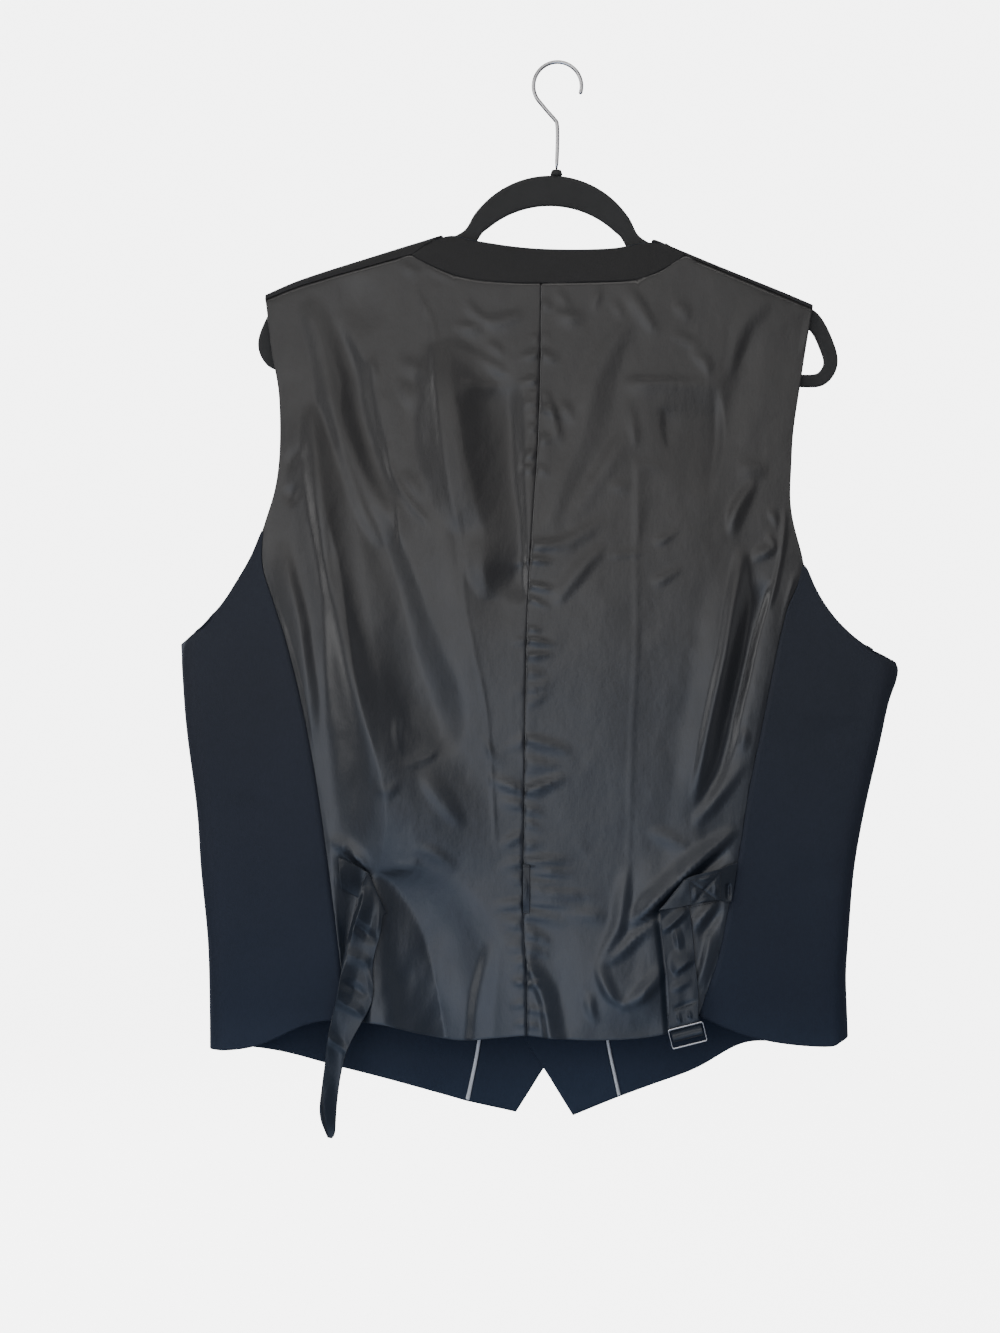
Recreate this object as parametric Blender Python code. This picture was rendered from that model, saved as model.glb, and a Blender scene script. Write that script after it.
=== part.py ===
"""A suit waistcoat on a flat velvet hanger, modelled as it hangs.

Frame: +Z up, with the origin at the inner top of the hook, where a rail would
carry it. The waistcoat's front faces -Y and its back +Y, and the wearer's left
is +X. Sizes are written in millimetres and turned into metres when a mesh is made.

Every piece of cloth is a thin wall. Its outer face comes from the cross-sections
of the hanging garment, and pieces that are sewn together share the points of
their seam, a seam's gap apart. A place on the garment is (turn, z): turn is 0 on
the middle line of the front, 1 at the side fold and 2 on the middle line of the back.
"""

import math

import bpy
import bmesh
from mathutils import Matrix, Vector

MM = 0.001

# Driving dimensions
GAP = 0.3
WELD_REACH = 0.05
AXIS_X = 14.0
SIDE_FOLD_REACH = 16.0
SIDE_SHARE = 0.72
SHOULDER_ROUND = 3.2
WOOL_WALL = 2.0
SATIN_WALL = 1.2
BAND_WALL = 2.0
FACING_WALL = 1.0
PIPING_WALL = 1.4
STRAP_WALL = 1.0
STRAP_WIDTH = 23.2
LAP_STAND = 3.8
LAP_FULL_X = 34.0
LAP_END_X = 90.0

HANGER_PLATE = 5.5
HANGER_TILT = math.radians(1.8)
HANGER_SHIFT_X = 0.4
ARCH_RADIUS = 72.0
ARCH_INNER_RADIUS = 73.4
ARCH_TOP = -85.8
ARCH_BAND = 23.2
ARCH_OUTER_TURN = math.radians(66.0)
ARCH_INNER_TURN = math.radians(48.5)
ARCH_STEPS = 8
HANGER_EDGE = 1.3
COLLAR_X = 0.8
COLLAR_RADIUS = 4.6
COLLAR_TOP_RADIUS = 3.7
COLLAR_TOP = -81.4
HOOK_RADIUS = 18.4
HOOK_WIRE = 1.5
HOOK_STEM = ((0.0, -60.0), (0.3, -46.5), (2.2, -42.6), (8.0, -36.0))
HOOK_ARC = (math.radians(-44.0), math.radians(200.0))
HOOK_STEPS = 26

BUTTON_SEGMENTS = 20
BUTTON_COUNT = 5
BUTTON_TOP_Z = -398.0
BUTTON_STEP = 82.0
BUTTON_X = 9.6
BUTTON_PROFILE = (
    # radius, how far it stands out from the cloth
    (0.0, 2.5), (4.6, 2.5), (5.6, 3.0), (6.6, 2.9), (7.5, 2.1), (7.3, 0.8), (6.0, 0.0), (0.0, 0.0),
)

# Cross-sections of the garment: the level, the two side folds, and how far the
# back and the front stand out from the middle plane
SECTIONS = (
    # z, left_fold_x, right_fold_x, back_out, front_out
    (-100.0, 287.2, -262.0, 8.0, 8.0),
    (-185.0, 287.2, -262.0, 8.0, 8.0),
    (-260.0, 287.2, -262.0, 11.0, 12.0),
    (-350.0, 287.2, -262.0, 16.0, 17.0),
    (-443.0, 287.2, -261.5, 20.0, 21.0),
    (-480.0, 287.2, -256.0, 20.0, 22.0),
    (-526.0, 282.6, -246.0, 19.0, 22.0),
    (-572.0, 276.5, -235.5, 18.0, 22.0),
    (-618.0, 273.5, -227.4, 18.0, 22.0),
    (-664.0, 268.8, -223.6, 19.0, 23.0),
    (-695.0, 267.3, -221.3, 21.0, 24.0),
    (-755.0, 266.5, -223.0, 23.0, 25.0),
    (-815.0, 266.5, -223.0, 24.0, 25.0),
)

# The top line of each shoulder, from the neck to the tip
SHOULDER = {
    1: ((20.0, -109.0), (88.6, -131.1), (139.2, -146.9), (197.5, -165.7), (224.3, -177.2)),
    -1: ((-5.0, -106.0), (-73.3, -134.2), (-123.1, -154.9), (-174.5, -175.6), (-196.0, -184.8)),
}
# How far the wool comes over the shoulder onto the back, at the neck and at the tip
WRAP_DROP = {1: (8.5, 4.5), -1: (3.2, 3.9)}
# Where the seam of the wool and the satin starts at the neck end of the shoulder
NECK_CORNER_X = {1: 111.4, -1: -96.6}
BACK_TIP_X = {1: 223.5, -1: -194.8}

# Edges of the back, as (x, z)
BAND_TOP = (
    (88.4, -131.2), (60.9, -136.8), (36.5, -140.7), (9.7, -142.9),
    (-32.3, -142.9), (-60.0, -139.6), (-73.1, -134.3),
)
BAND_BOTTOM = (
    (111.4, -146.6), (93.8, -156.1), (70.8, -164.4), (44.1, -167.6), (13.5, -168.3),
    (-32.3, -167.2), (-62.9, -165.0), (-84.3, -155.8), (-96.6, -147.0),
)
CENTRE_SEAM = (
    (12.8, -168.9), (13.6, -228.6), (15.2, -282.3), (18.3, -335.7), (22.1, -388.9),
    (24.4, -449.6), (25.9, -563.3), (26.7, -650.5), (24.4, -684.5), (23.7, -741.7),
)
BACK_ARMHOLE = {
    1: (
        (223.7, -181.2), (221.9, -194.0), (219.2, -218.0), (216.6, -234.0),
        (213.2, -252.0), (212.3, -297.3), (215.9, -327.9), (224.9, -356.9),
    ),
    -1: (
        (-194.8, -188.0), (-189.4, -220.6), (-184.6, -251.3), (-179.8, -282.0),
        (-178.0, -312.6), (-177.4, -343.2), (-180.8, -358.4), (-184.6, -373.6), (-187.4, -384.2),
    ),
}
UNDERARM = {
    1: (
        (224.9, -356.9), (231.8, -373.6), (240.1, -388.8), (249.2, -404.0),
        (259.9, -419.2), (274.3, -434.4), (287.2, -443.3),
    ),
    -1: (
        (-187.4, -384.2), (-193.3, -396.4), (-206.6, -419.2),
        (-220.3, -434.4), (-240.1, -449.6), (-259.6, -458.6),
    ),
}
SIDE_SEAM = {
    1: (
        (224.9, -356.9), (225.4, -384.6), (217.2, -411.6), (207.4, -442.0), (196.0, -487.5),
        (185.3, -544.5), (177.0, -601.4), (168.6, -665.9), (160.1, -730.2),
    ),
    -1: (
        (-187.4, -384.2), (-184.2, -396.5), (-177.3, -410.8), (-168.3, -443.4), (-153.3, -517.9),
        (-145.7, -555.9), (-137.4, -609.0), (-130.5, -643.2), (-122.9, -680.3), (-106.8, -727.2),
    ),
}
SATIN_HEM = {
    1: ((23.7, -741.7), (57.7, -745.5), (78.2, -747.0), (104.6, -741.7), (131.1, -734.2), (160.1, -730.2)),
    -1: ((23.7, -741.7), (13.8, -743.2), (-31.6, -745.5), (-80.8, -741.0), (-106.8, -727.2)),
}
SIDE_HEM = {
    1: ((266.5, -754.7), (242.0, -753.2), (224.8, -749.5), (198.1, -735.8), (160.1, -730.2)),
    -1: (
        (-223.0, -745.5), (-207.3, -751.2), (-189.3, -751.3),
        (-159.3, -746.3), (-139.5, -741.4), (-122.7, -733.1), (-106.8, -727.2),
    ),
}

# Edges of the fronts, as (x, z)
FRONT_EDGE = {
    1: (
        (88.6, -131.1), (73.0, -190.0), (43.0, -270.0), (11.0, -345.0),
        (-9.4, -388.0), (-9.4, -745.0), (31.7, -809.0),
    ),
    -1: (
        (-73.3, -134.2), (-56.0, -192.0), (-24.0, -272.0), (9.0, -346.0),
        (28.6, -388.0), (28.6, -745.0), (-12.6, -811.0),
    ),
}
FRONT_ARMHOLE = {
    1: (
        (224.3, -177.2), (212.0, -215.0), (203.0, -260.0), (200.0, -305.0),
        (205.0, -345.0), (218.0, -380.0), (240.0, -412.0), (262.0, -431.0), (287.2, -443.3),
    ),
    -1: (
        (-196.0, -184.8), (-184.0, -222.0), (-175.0, -265.0), (-170.0, -310.0),
        (-172.0, -350.0), (-183.0, -390.0), (-205.0, -425.0), (-232.0, -447.0), (-259.6, -458.6),
    ),
}
FRONT_HEM = {
    1: ((31.7, -809.0), (70.5, -799.8), (121.8, -784.9), (181.5, -769.2), (228.6, -757.0), (266.5, -754.7)),
    -1: (
        (-12.6, -811.0), (-46.7, -797.0), (-75.5, -786.2), (-118.1, -769.2), (-128.5, -760.6),
        (-143.6, -754.0), (-163.6, -752.0), (-193.5, -754.5), (-223.0, -745.5),
    ),
}
# The line of the piping that edges the facing
FACING_LINE = {
    1: ((52.0, -443.0), (57.5, -740.0), (70.5, -808.0)),
    -1: ((-30.0, -443.0), (-36.0, -740.0), (-49.5, -808.0)),
}
PIPING_WIDTH = 3.0
# How far the facing and piping stay in from the edges of the front's columns, as a
# share of a column
EDGE_INSET = 0.06
SEAM_INSET = 0.01
PIPING_INSET = 0.1

# Main folds: start, middle and end of the crest or trough, its half width, and
# how far it stands out (+) or lies in (-)
BACK_FOLDS = (
    # x0, z0, x1, z1, x2, z2, half_width, rise
    (183.0, -200.0, 155.0, -262.0, 131.0, -330.0, 15.0, -3.0),
    (172.0, -340.0, 147.0, -435.0, 103.0, -525.0, 26.0, -5.0),
    (200.0, -265.0, 178.0, -380.0, 148.0, -520.0, 15.0, 3.0),
    (64.0, -215.0, 60.0, -320.0, 40.0, -412.0, 26.0, -4.0),
    (92.0, -180.0, 90.0, -320.0, 62.0, -470.0, 18.0, 2.5),
    (-61.0, -195.0, -27.0, -280.0, -2.0, -350.0, 16.0, -2.5),
    (-150.0, -205.0, -137.0, -250.0, -120.0, -310.0, 15.0, -2.0),
    (-150.0, -385.0, -140.0, -455.0, -120.0, -545.0, 14.0, -3.0),
    (-128.0, -400.0, -116.0, -480.0, -98.0, -570.0, 14.0, 2.5),
    (122.0, -622.0, 101.0, -668.0, 78.0, -738.0, 15.0, 3.5),
    (134.0, -640.0, 124.0, -690.0, 112.0, -730.0, 13.0, -3.5),
    (-118.0, -596.0, -92.0, -616.0, -50.0, -660.0, 14.0, 3.5),
    (-28.0, -690.0, -52.0, -717.0, -82.0, -694.0, 14.0, 3.0),
    (10.0, -660.0, 4.0, -695.0, -4.0, -735.0, 14.0, -3.0),
)
FRONT_FOLDS = (
    # x0, z0, x1, z1, x2, z2, half_width, rise
    (176.0, -230.0, 150.0, -320.0, 112.0, -400.0, 22.0, -2.5),
    (190.0, -300.0, 176.0, -400.0, 150.0, -510.0, 20.0, 2.5),
    (215.0, -480.0, 170.0, -560.0, 120.0, -620.0, 24.0, -3.0),
    (205.0, -620.0, 160.0, -680.0, 128.0, -745.0, 22.0, 3.0),
    (-146.0, -235.0, -120.0, -320.0, -90.0, -400.0, 22.0, -2.5),
    (-160.0, -330.0, -145.0, -420.0, -118.0, -520.0, 20.0, 2.5),
    (-185.0, -500.0, -140.0, -570.0, -92.0, -625.0, 24.0, -3.0),
    (-170.0, -630.0, -130.0, -690.0, -100.0, -740.0, 22.0, 3.0),
)

# Straps: each row is a line across the ribbon, from its first edge (a) to its
# second (b), with how far each stands out from the plain form of the back
STRAP_LEFT = (
    # ax, az, a_out, bx, bz, b_out
    (166.4, -606.1, 2.0, 164.3, -630.3, 2.0),
    (155.2, -611.4, 3.0, 148.4, -639.4, 3.0),
    (145.9, -617.2, 4.8, 133.2, -647.0, 4.8),
    (143.8, -618.6, 6.0, 130.2, -649.2, 6.0),
    (145.9, -620.4, 7.2, 132.4, -651.2, 7.2),
    (150.7, -634.8, 7.8, 133.0, -657.5, 8.4),
    (157.5, -659.8, 7.4, 134.8, -666.5, 9.6),
    (162.8, -684.7, 8.8, 140.1, -687.8, 7.0),
    (166.6, -708.9, 10.0, 139.8, -711.2, 7.0),
    (171.9, -731.0, 8.6, 147.6, -729.4, 8.2),
    (174.9, -748.3, 6.8, 156.5, -745.5, 9.0),
    (176.4, -762.6, 5.6, 162.8, -764.1, 8.6),
    (179.4, -783.8, 5.6, 166.2, -785.3, 7.6),
    (180.6, -800.4, 5.6, 167.7, -802.0, 6.6),
    (177.2, -811.8, 5.6, 168.5, -814.0, 6.0),
    (174.4, -818.0, 5.6, 171.0, -818.6, 5.8),
)
STRAP_RIGHT = (
    # ax, az, a_out, bx, bz, b_out
    (-136.4, -611.0, 2.2, -131.8, -640.9, 2.2),
    (-128.3, -612.9, 4.4, -125.6, -640.5, 4.0),
    (-121.5, -615.6, 6.4, -120.7, -639.0, 5.4),
    (-108.6, -618.6, 7.6, -109.4, -640.9, 6.4),
    (-98.4, -621.6, 7.8, -88.0, -644.8, 7.2),
    (-96.0, -623.4, 7.2, -77.6, -646.6, 6.8),
    (-95.2, -624.3, 6.2, -76.4, -647.7, 5.8),
    (-96.0, -625.6, 5.2, -77.4, -649.2, 4.8),
    (-98.8, -642.0, 3.6, -77.8, -656.8, 4.0),
    (-101.8, -661.3, 3.6, -79.1, -669.6, 4.2),
    (-103.7, -685.5, 4.8, -81.4, -690.0, 5.2),
    (-106.3, -710.4, 6.6, -83.7, -715.7, 6.6),
)
# The loop of the right strap round the slider's middle bar, as seen from its end:
# how far down from the bar, and how far out from it
SLIDER_LOOP = (
    # down, out
    (-12.0, -1.8), (-8.4, -1.8), (-5.4, -1.6), (-3.4, 0.6), (-1.6, 2.0), (0.0, 2.2), (1.6, 1.5),
    (2.2, 0.0), (1.6, -1.5), (0.0, -2.2), (-4.0, -3.6), (-9.0, -4.3), (-17.0, -4.6),
)
SLIDER_CENTRE = (-97.3, -740.1)
SLIDER_OUT = 9.4
SLIDER_TILT = math.radians(14.0)
SLIDER_SIZE = (28.0, 15.5)
SLIDER_BAR = 2.0
SLIDER_THICK = 1.6
SLIDER_EDGE = 0.35

KEEPER_X = 24.2
KEEPER_WIDTH = 5.4
KEEPER_Z = (-612.0, -649.5)
KEEPER_STANDS = (
    # share of the way down, how far out from the back
    (0.0, 1.2), (0.1, 1.6), (0.3, 2.8), (0.7, 2.8), (0.9, 1.6), (1.0, 1.2),
)

# The hanger's band: its outer and inner edge, seen from the front on one half, as
# distance from the middle and level below the hook; the arch is worked out
HANGER_BAND = (
    # outer_x, outer_z, inner_x, inner_z
    (78.0, -136.4, 70.5, -152.6),
    (115.0, -150.6, 111.2, -166.9),
    (157.2, -166.4, 153.4, -181.0),
    (187.9, -177.9, 181.0, -190.6),
    (205.6, -184.5, 199.4, -197.3),
    (218.5, -206.9, 207.2, -210.0),
    (222.4, -223.4, 211.5, -222.0),
    (217.0, -236.0, 208.5, -229.2),
    (207.0, -241.4, 203.0, -232.0),
    (184.0, -241.6, 182.0, -232.4),
    (120.0, -241.6, 120.0, -232.4),
    (60.0, -241.6, 60.0, -232.4),
)

# How the panels are divided: fractions of the way down or across
WRAP_STATIONS = (1.0, 0.78, 0.55, 0.3)
FRONT_TOP_ROWS = (
    0.0, 0.004, 0.012, 0.026, 0.055, 0.11, 0.2, 0.3, 0.41, 0.52, 0.63, 0.74, 0.824, 0.92, 0.965, 1.0,
)
LOW_ROWS = (0.0, 0.09, 0.18, 0.27, 0.36, 0.45, 0.54, 0.63, 0.73, 0.825, 0.885, 0.945, 1.0)
UNDERARM_ROWS = (0.0, 0.2, 0.4, 0.58, 0.74, 0.88, 1.0)
ARMHOLE_ROWS = 8
SIDE_COLUMNS = (0.0, 0.05, 0.1, 0.15, 0.4, 0.7, 1.0)
NECK_COLUMNS = 6
FRONT_COLUMNS = 12
FACING_COLUMNS = 3

FINISHES = {
    # name: base colour, roughness, metallic
    "wool": ((0.012, 0.016, 0.026), 0.9, 0.0),
    "satin": ((0.030, 0.033, 0.040), 0.42, 0.0),
    "piping": ((0.50, 0.52, 0.54), 0.5, 0.0),
    "velvet": ((0.008, 0.008, 0.009), 0.95, 0.0),
    "chrome": ((0.62, 0.62, 0.64), 0.22, 1.0),
    "gunmetal": ((0.10, 0.10, 0.11), 0.35, 1.0),
    "horn": ((0.010, 0.011, 0.014), 0.4, 0.0),
}


# ---------------------------------------------------------------- curves

def smooth_step(edge0, edge1, value):
    t = min(1.0, max(0.0, (value - edge0) / (edge1 - edge0)))
    return t * t * (3.0 - 2.0 * t)


def by_key(rows, key, value):
    """Row of a table at a value of its sorted column key, by a smooth curve through the rows."""
    order = sorted(rows, key=lambda row: row[key])
    value = min(order[-1][key], max(order[0][key], value))
    i = 0
    while i < len(order) - 2 and value > order[i + 1][key]:
        i += 1
    step = order[i + 1][key] - order[i][key]
    t = (value - order[i][key]) / step

    def slope(j, column):
        low, high = max(0, j - 1), min(len(order) - 1, j + 1)
        return (order[high][column] - order[low][column]) / (order[high][key] - order[low][key]) * step

    result = []
    for column in range(len(order[0])):
        a, b = order[i][column], order[i + 1][column]
        m, n = slope(i, column), slope(i + 1, column)
        result.append(
            a * (2 * t**3 - 3 * t**2 + 1) + m * (t**3 - 2 * t**2 + t)
            + b * (3 * t**2 - 2 * t**3) + n * (t**3 - t**2)
        )
    return result


def straight_by_z(rows, z):
    """X of an outline at a level, straight between its points so that its corners stay."""
    for (x0, z0), (x1, z1) in zip(rows, rows[1:]):
        if z1 <= z <= z0:
            return x0 + (x1 - x0) * (z0 - z) / (z0 - z1)
    return rows[0][0] if z > rows[0][1] else rows[-1][0]


def mix(a, b, t):
    return a + (b - a) * t


# ---------------------------------------------------------------- the garment's form

def shoulder_level(x):
    """Level of the shoulder's top line at x, carried on past the neck."""
    return min(by_key(SHOULDER[1], 0, x)[1] if x > 20.0 else 0.0,
               by_key(SHOULDER[-1], 0, x)[1] if x < -5.0 else 0.0)


def wrap_drop(side, x):
    start, end = NECK_CORNER_X[side], BACK_TIP_X[side]
    return mix(*WRAP_DROP[side], (x - start) / (end - start))


def fold_rise(x, z, rows):
    """Height of the folds at a place: each is a soft crest or trough along a bent line."""
    total = 0.0
    for x0, z0, x1, z1, x2, z2, half_width, rise in rows:
        best = None
        for part, (ax, az, bx, bz) in enumerate(((x0, z0, x1, z1), (x1, z1, x2, z2))):
            dx, dz = bx - ax, bz - az
            t = min(1.0, max(0.0, ((x - ax) * dx + (z - az) * dz) / (dx * dx + dz * dz)))
            away = math.hypot(x - ax - t * dx, z - az - t * dz)
            if best is None or away < best[0]:
                best = (away, (part + t) / 2.0)
        away, along = best
        if away < half_width:
            across = (1.0 - (away / half_width) ** 2) ** 2
            total += rise * across * min(1.0, 4.0 * along * (1.0 - along) + 0.25)
    return total


def half_width_at(side, z):
    row = by_key(SECTIONS, 0, z)
    return side * (row[1 if side > 0 else 2] - AXIS_X)


def turn_of(side, x, z, on_back):
    """Turn of a place given by its x."""
    width = half_width_at(side, z)
    across = side * (x - AXIS_X)
    if across <= width - SIDE_FOLD_REACH:
        from_fold = 1.0 - across / width
    else:
        cosine = min(1.0, (across - width + SIDE_FOLD_REACH) / SIDE_FOLD_REACH)
        from_fold = math.acos(cosine) / (math.pi / 2) * SIDE_FOLD_REACH / width
    return 1.0 + from_fold if on_back else 1.0 - from_fold


def x_at(side, turn, z):
    width = half_width_at(side, z)
    from_fold = abs(turn - 1.0) * width / SIDE_FOLD_REACH
    if from_fold >= 1.0:
        return AXIS_X + side * width * (1.0 - abs(turn - 1.0))
    return AXIS_X + side * (width - SIDE_FOLD_REACH * (1.0 - math.cos(from_fold * math.pi / 2)))


def plain_out(side, turn, z):
    """How far the garment's plain form stands out from the middle plane."""
    section = by_key(SECTIONS, 0, z)
    out = section[3] if turn > 1.0 else section[4]
    width = half_width_at(side, z)
    from_fold = abs(turn - 1.0) * width / SIDE_FOLD_REACH
    if from_fold >= 1.0:
        share = (1.0 - abs(turn - 1.0)) / (1.0 - SIDE_FOLD_REACH / width)
        out *= SIDE_SHARE + (1.0 - SIDE_SHARE) * (1.0 - share * share)
    else:
        out *= SIDE_SHARE * math.sin(from_fold * math.pi / 2)
    below = shoulder_level(x_at(side, turn, z)) - z
    if below < SHOULDER_ROUND:
        out *= math.sqrt(max(0.0, 1.0 - (1.0 - max(0.0, below) / SHOULDER_ROUND) ** 2))
    return out


def cloth_point(side, turn, z):
    """Outer face of the garment at a place, with its folds."""
    x = x_at(side, turn, z)
    out = plain_out(side, turn, z)
    width = half_width_at(side, z)
    hold = smooth_step(8.0, 45.0, shoulder_level(x) - z)
    hold *= smooth_step(SIDE_FOLD_REACH, 2.0 * SIDE_FOLD_REACH, abs(turn - 1.0) * width)
    if turn > 1.0:
        return Vector((x, out + hold * fold_rise(x, z, BACK_FOLDS), z))
    out += hold * fold_rise(x, z, FRONT_FOLDS)
    if side > 0:
        out += LAP_STAND * (1.0 - smooth_step(LAP_FULL_X, LAP_END_X, x))
    return Vector((x, -out, z))


def back_point(x, z, stand=0.0):
    """Place on the plain back, moved out; nearer side by x."""
    side = 1 if x > AXIS_X else -1
    return Vector((x, plain_out(side, turn_of(side, x, z, True), z) + stand, z))


def patch(top, bottom, left, right, across, down):
    """Rows of places inside four edges, each edge a list of pairs that meet at the corners."""
    rows = []
    for i, v in enumerate(down):
        row = []
        for j, u in enumerate(across if not callable(across) else across(v)):
            place = []
            for k in (0, 1):
                ruled = mix(top(u)[k], bottom(u)[k], v) + mix(left[i][k], right[i][k], u)
                corners = mix(mix(left[0][k], right[0][k], u), mix(left[-1][k], right[-1][k], u), v)
                place.append(ruled - corners)
            row.append(tuple(place))
        rows.append(row)
    return rows


# ---------------------------------------------------------------- walls and meshes

class Sheet:
    """One cloth surface: points welded from grids that share edges, with outward normals."""

    def __init__(self, outward):
        self.outward = Vector(outward)
        self.points = []
        self.triangles = []

    def weld(self, point):
        """Number of the point that lies there already, or of a new one."""
        for number, known in enumerate(self.points):
            if (known - point).length_squared < WELD_REACH**2:
                return number
        self.points.append(Vector(point))
        return len(self.points) - 1

    def add(self, rows):
        """Adds a grid of points and returns their numbers."""
        grid = [[self.weld(point) for point in row] for row in rows]
        for upper, lower in zip(grid, grid[1:]):
            for j in range(len(upper) - 1):
                corners = (upper[j], lower[j], lower[j + 1], upper[j + 1])
                for triangle in ((corners[0], corners[1], corners[2]), (corners[0], corners[2], corners[3])):
                    if len(set(triangle)) == 3:
                        self.triangles.append(triangle)
        return grid

    def finish(self):
        """Turns the faces outward and works out a normal for each point."""
        areas = []
        for a, b, c in self.triangles:
            areas.append((self.points[b] - self.points[a]).cross(self.points[c] - self.points[a]))
        if sum(areas, Vector()).dot(self.outward) < 0.0:
            self.triangles = [(a, c, b) for a, b, c in self.triangles]
            areas = [-area for area in areas]
        self.normals = [Vector() for _ in self.points]
        for triangle, area in zip(self.triangles, areas):
            for number in triangle:
                self.normals[number] += area
        self.normals = [normal.normalized() for normal in self.normals]
        return self

    def square_off(self, numbers):
        """Levels the normals of an edge, so that the walls sewn there meet squarely."""
        for number in numbers:
            flat = self.normals[number]
            flat.z = 0.0
            flat.normalize()

    def between(self, grid, row, column):
        """Point and normal at a fractional place of one of the sheet's grids."""
        i, j = min(int(row), len(grid) - 2), min(int(column), len(grid[0]) - 2)
        s, t = row - i, column - j
        values = []
        for source in (self.points, self.normals):
            upper = source[grid[i][j]].lerp(source[grid[i][j + 1]], t)
            lower = source[grid[i + 1][j]].lerp(source[grid[i + 1][j + 1]], t)
            values.append(upper.lerp(lower, s))
        return values[0], values[1].normalized()


def new_object(name, finish, vertices, faces, smooth_angle=40.0):
    """Object from points in millimetres, with its own material."""
    mesh = bpy.data.meshes.new(name)
    mesh.from_pydata([tuple(value * MM for value in vertex) for vertex in vertices], [], faces)
    mesh.validate()
    mesh.shade_smooth()
    mesh.set_sharp_from_angle(angle=math.radians(smooth_angle))
    obj = bpy.data.objects.new(name, mesh)
    bpy.context.scene.collection.objects.link(obj)
    obj.data.materials.append(make_finish(name, finish))
    return obj


def make_finish(name, finish):
    colour, roughness, metallic = FINISHES[finish]
    material = bpy.data.materials.new(f"{name}_{finish}")
    material.use_nodes = True
    shader = material.node_tree.nodes["Principled BSDF"]
    shader.inputs["Base Color"].default_value = (*colour, 1.0)
    shader.inputs["Roughness"].default_value = roughness
    shader.inputs["Metallic"].default_value = metallic
    return material


def wall(name, finish, points, normals, triangles, outer, inner):
    """Closed wall between two offsets of a surface."""
    count = len(points)
    vertices = [point + normal * outer for point, normal in zip(points, normals)]
    vertices += [point + normal * inner for point, normal in zip(points, normals)]
    faces = [tuple(triangle) for triangle in triangles]
    faces += [(a + count, c + count, b + count) for a, b, c in triangles]
    edges = {(t[k], t[(k + 1) % 3]) for t in triangles for k in range(3)}
    for a, b in sorted(edges):
        if (b, a) not in edges:
            faces.append((b, a, a + count))
            faces.append((b, a + count, b + count))
    return new_object(name, finish, vertices, faces)


def sheet_wall(name, finish, sheet, thickness):
    return wall(name, finish, sheet.points, sheet.normals, sheet.triangles, 0.0, -thickness)


def ribbon(name, finish, rows, thickness):
    """Wall of even thickness round a middle surface given by rows of points."""
    sheet = Sheet((0.0, 1.0, 0.0))
    sheet.add(rows)
    # A ribbon that folds back keeps its own face order, whichever way it looks
    sheet.normals = [Vector() for _ in sheet.points]
    for a, b, c in sheet.triangles:
        area = (sheet.points[b] - sheet.points[a]).cross(sheet.points[c] - sheet.points[a])
        for number in (a, b, c):
            sheet.normals[number] += area
    sheet.normals = [normal.normalized() for normal in sheet.normals]
    return wall(name, finish, sheet.points, sheet.normals, sheet.triangles, thickness / 2, -thickness / 2)


def strip_on(name, finish, sheet, grid, rows, columns, outer, inner):
    """Wall that lies on a sheet, made from the sheet's own points moved along their normals."""
    pairs = [[sheet.between(grid, row, column) for column in columns] for row in rows]
    flat = [pair for row in pairs for pair in row]
    width = len(columns)
    triangles = []
    for i in range(len(rows) - 1):
        for j in range(width - 1):
            a, b = i * width + j, (i + 1) * width + j
            triangles += [(a, b, b + 1), (a, b + 1, a + 1)]
    points = [point for point, _ in flat]
    normals = [normal for _, normal in flat]
    a, b, c = triangles[0]
    if (points[b] - points[a]).cross(points[c] - points[a]).dot(normals[a]) < 0.0:
        triangles = [(a, c, b) for a, b, c in triangles]
    return wall(name, finish, points, normals, triangles, outer, inner)


# ---------------------------------------------------------------- edges that pieces share

def shoulder_columns(count=FRONT_COLUMNS):
    return [j / count for j in range(count + 1)]


def wrap_place(side, share, u):
    """Place on the wool that comes over the shoulder: share 0 is the top line, 1 the seam."""
    x_neck = mix(SHOULDER[side][1][0], NECK_CORNER_X[side], share)
    x_tip = mix(SHOULDER[side][-1][0], BACK_TIP_X[side], share)
    x = mix(x_neck, x_tip, u)
    return x, shoulder_level(x) - share * wrap_drop(side, x)


def seam_levels(side):
    """Levels of the points on the side seam, from its top to the hem."""
    top = SIDE_SEAM[side][0][1]
    underarm = UNDERARM[side][-1][1]
    bottom = SIDE_SEAM[side][-1][1]
    upper = [mix(top, underarm, v) for v in UNDERARM_ROWS]
    lower = [mix(underarm, bottom, v) for v in LOW_ROWS[1:]]
    return upper + lower


def seam_x(side, z):
    return by_key(SIDE_SEAM[side], 1, z)[0]


def neck_points(side):
    """Points along the lower edge of the neck band, from the middle to the shoulder seam."""
    middle = CENTRE_SEAM[0][0]
    end = NECK_CORNER_X[side]
    xs = [mix(middle, end, j / NECK_COLUMNS) for j in range(NECK_COLUMNS + 1)]
    return [(x, by_key(BAND_BOTTOM, 0, x)[1]) for x in xs]


def moved(places, shift_x, shift_z):
    """The places of an edge, moved off the edge that it is sewn to."""
    return [(x + shift_x, z + shift_z) for x, z in places]


# ---------------------------------------------------------------- pieces of cloth

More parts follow.
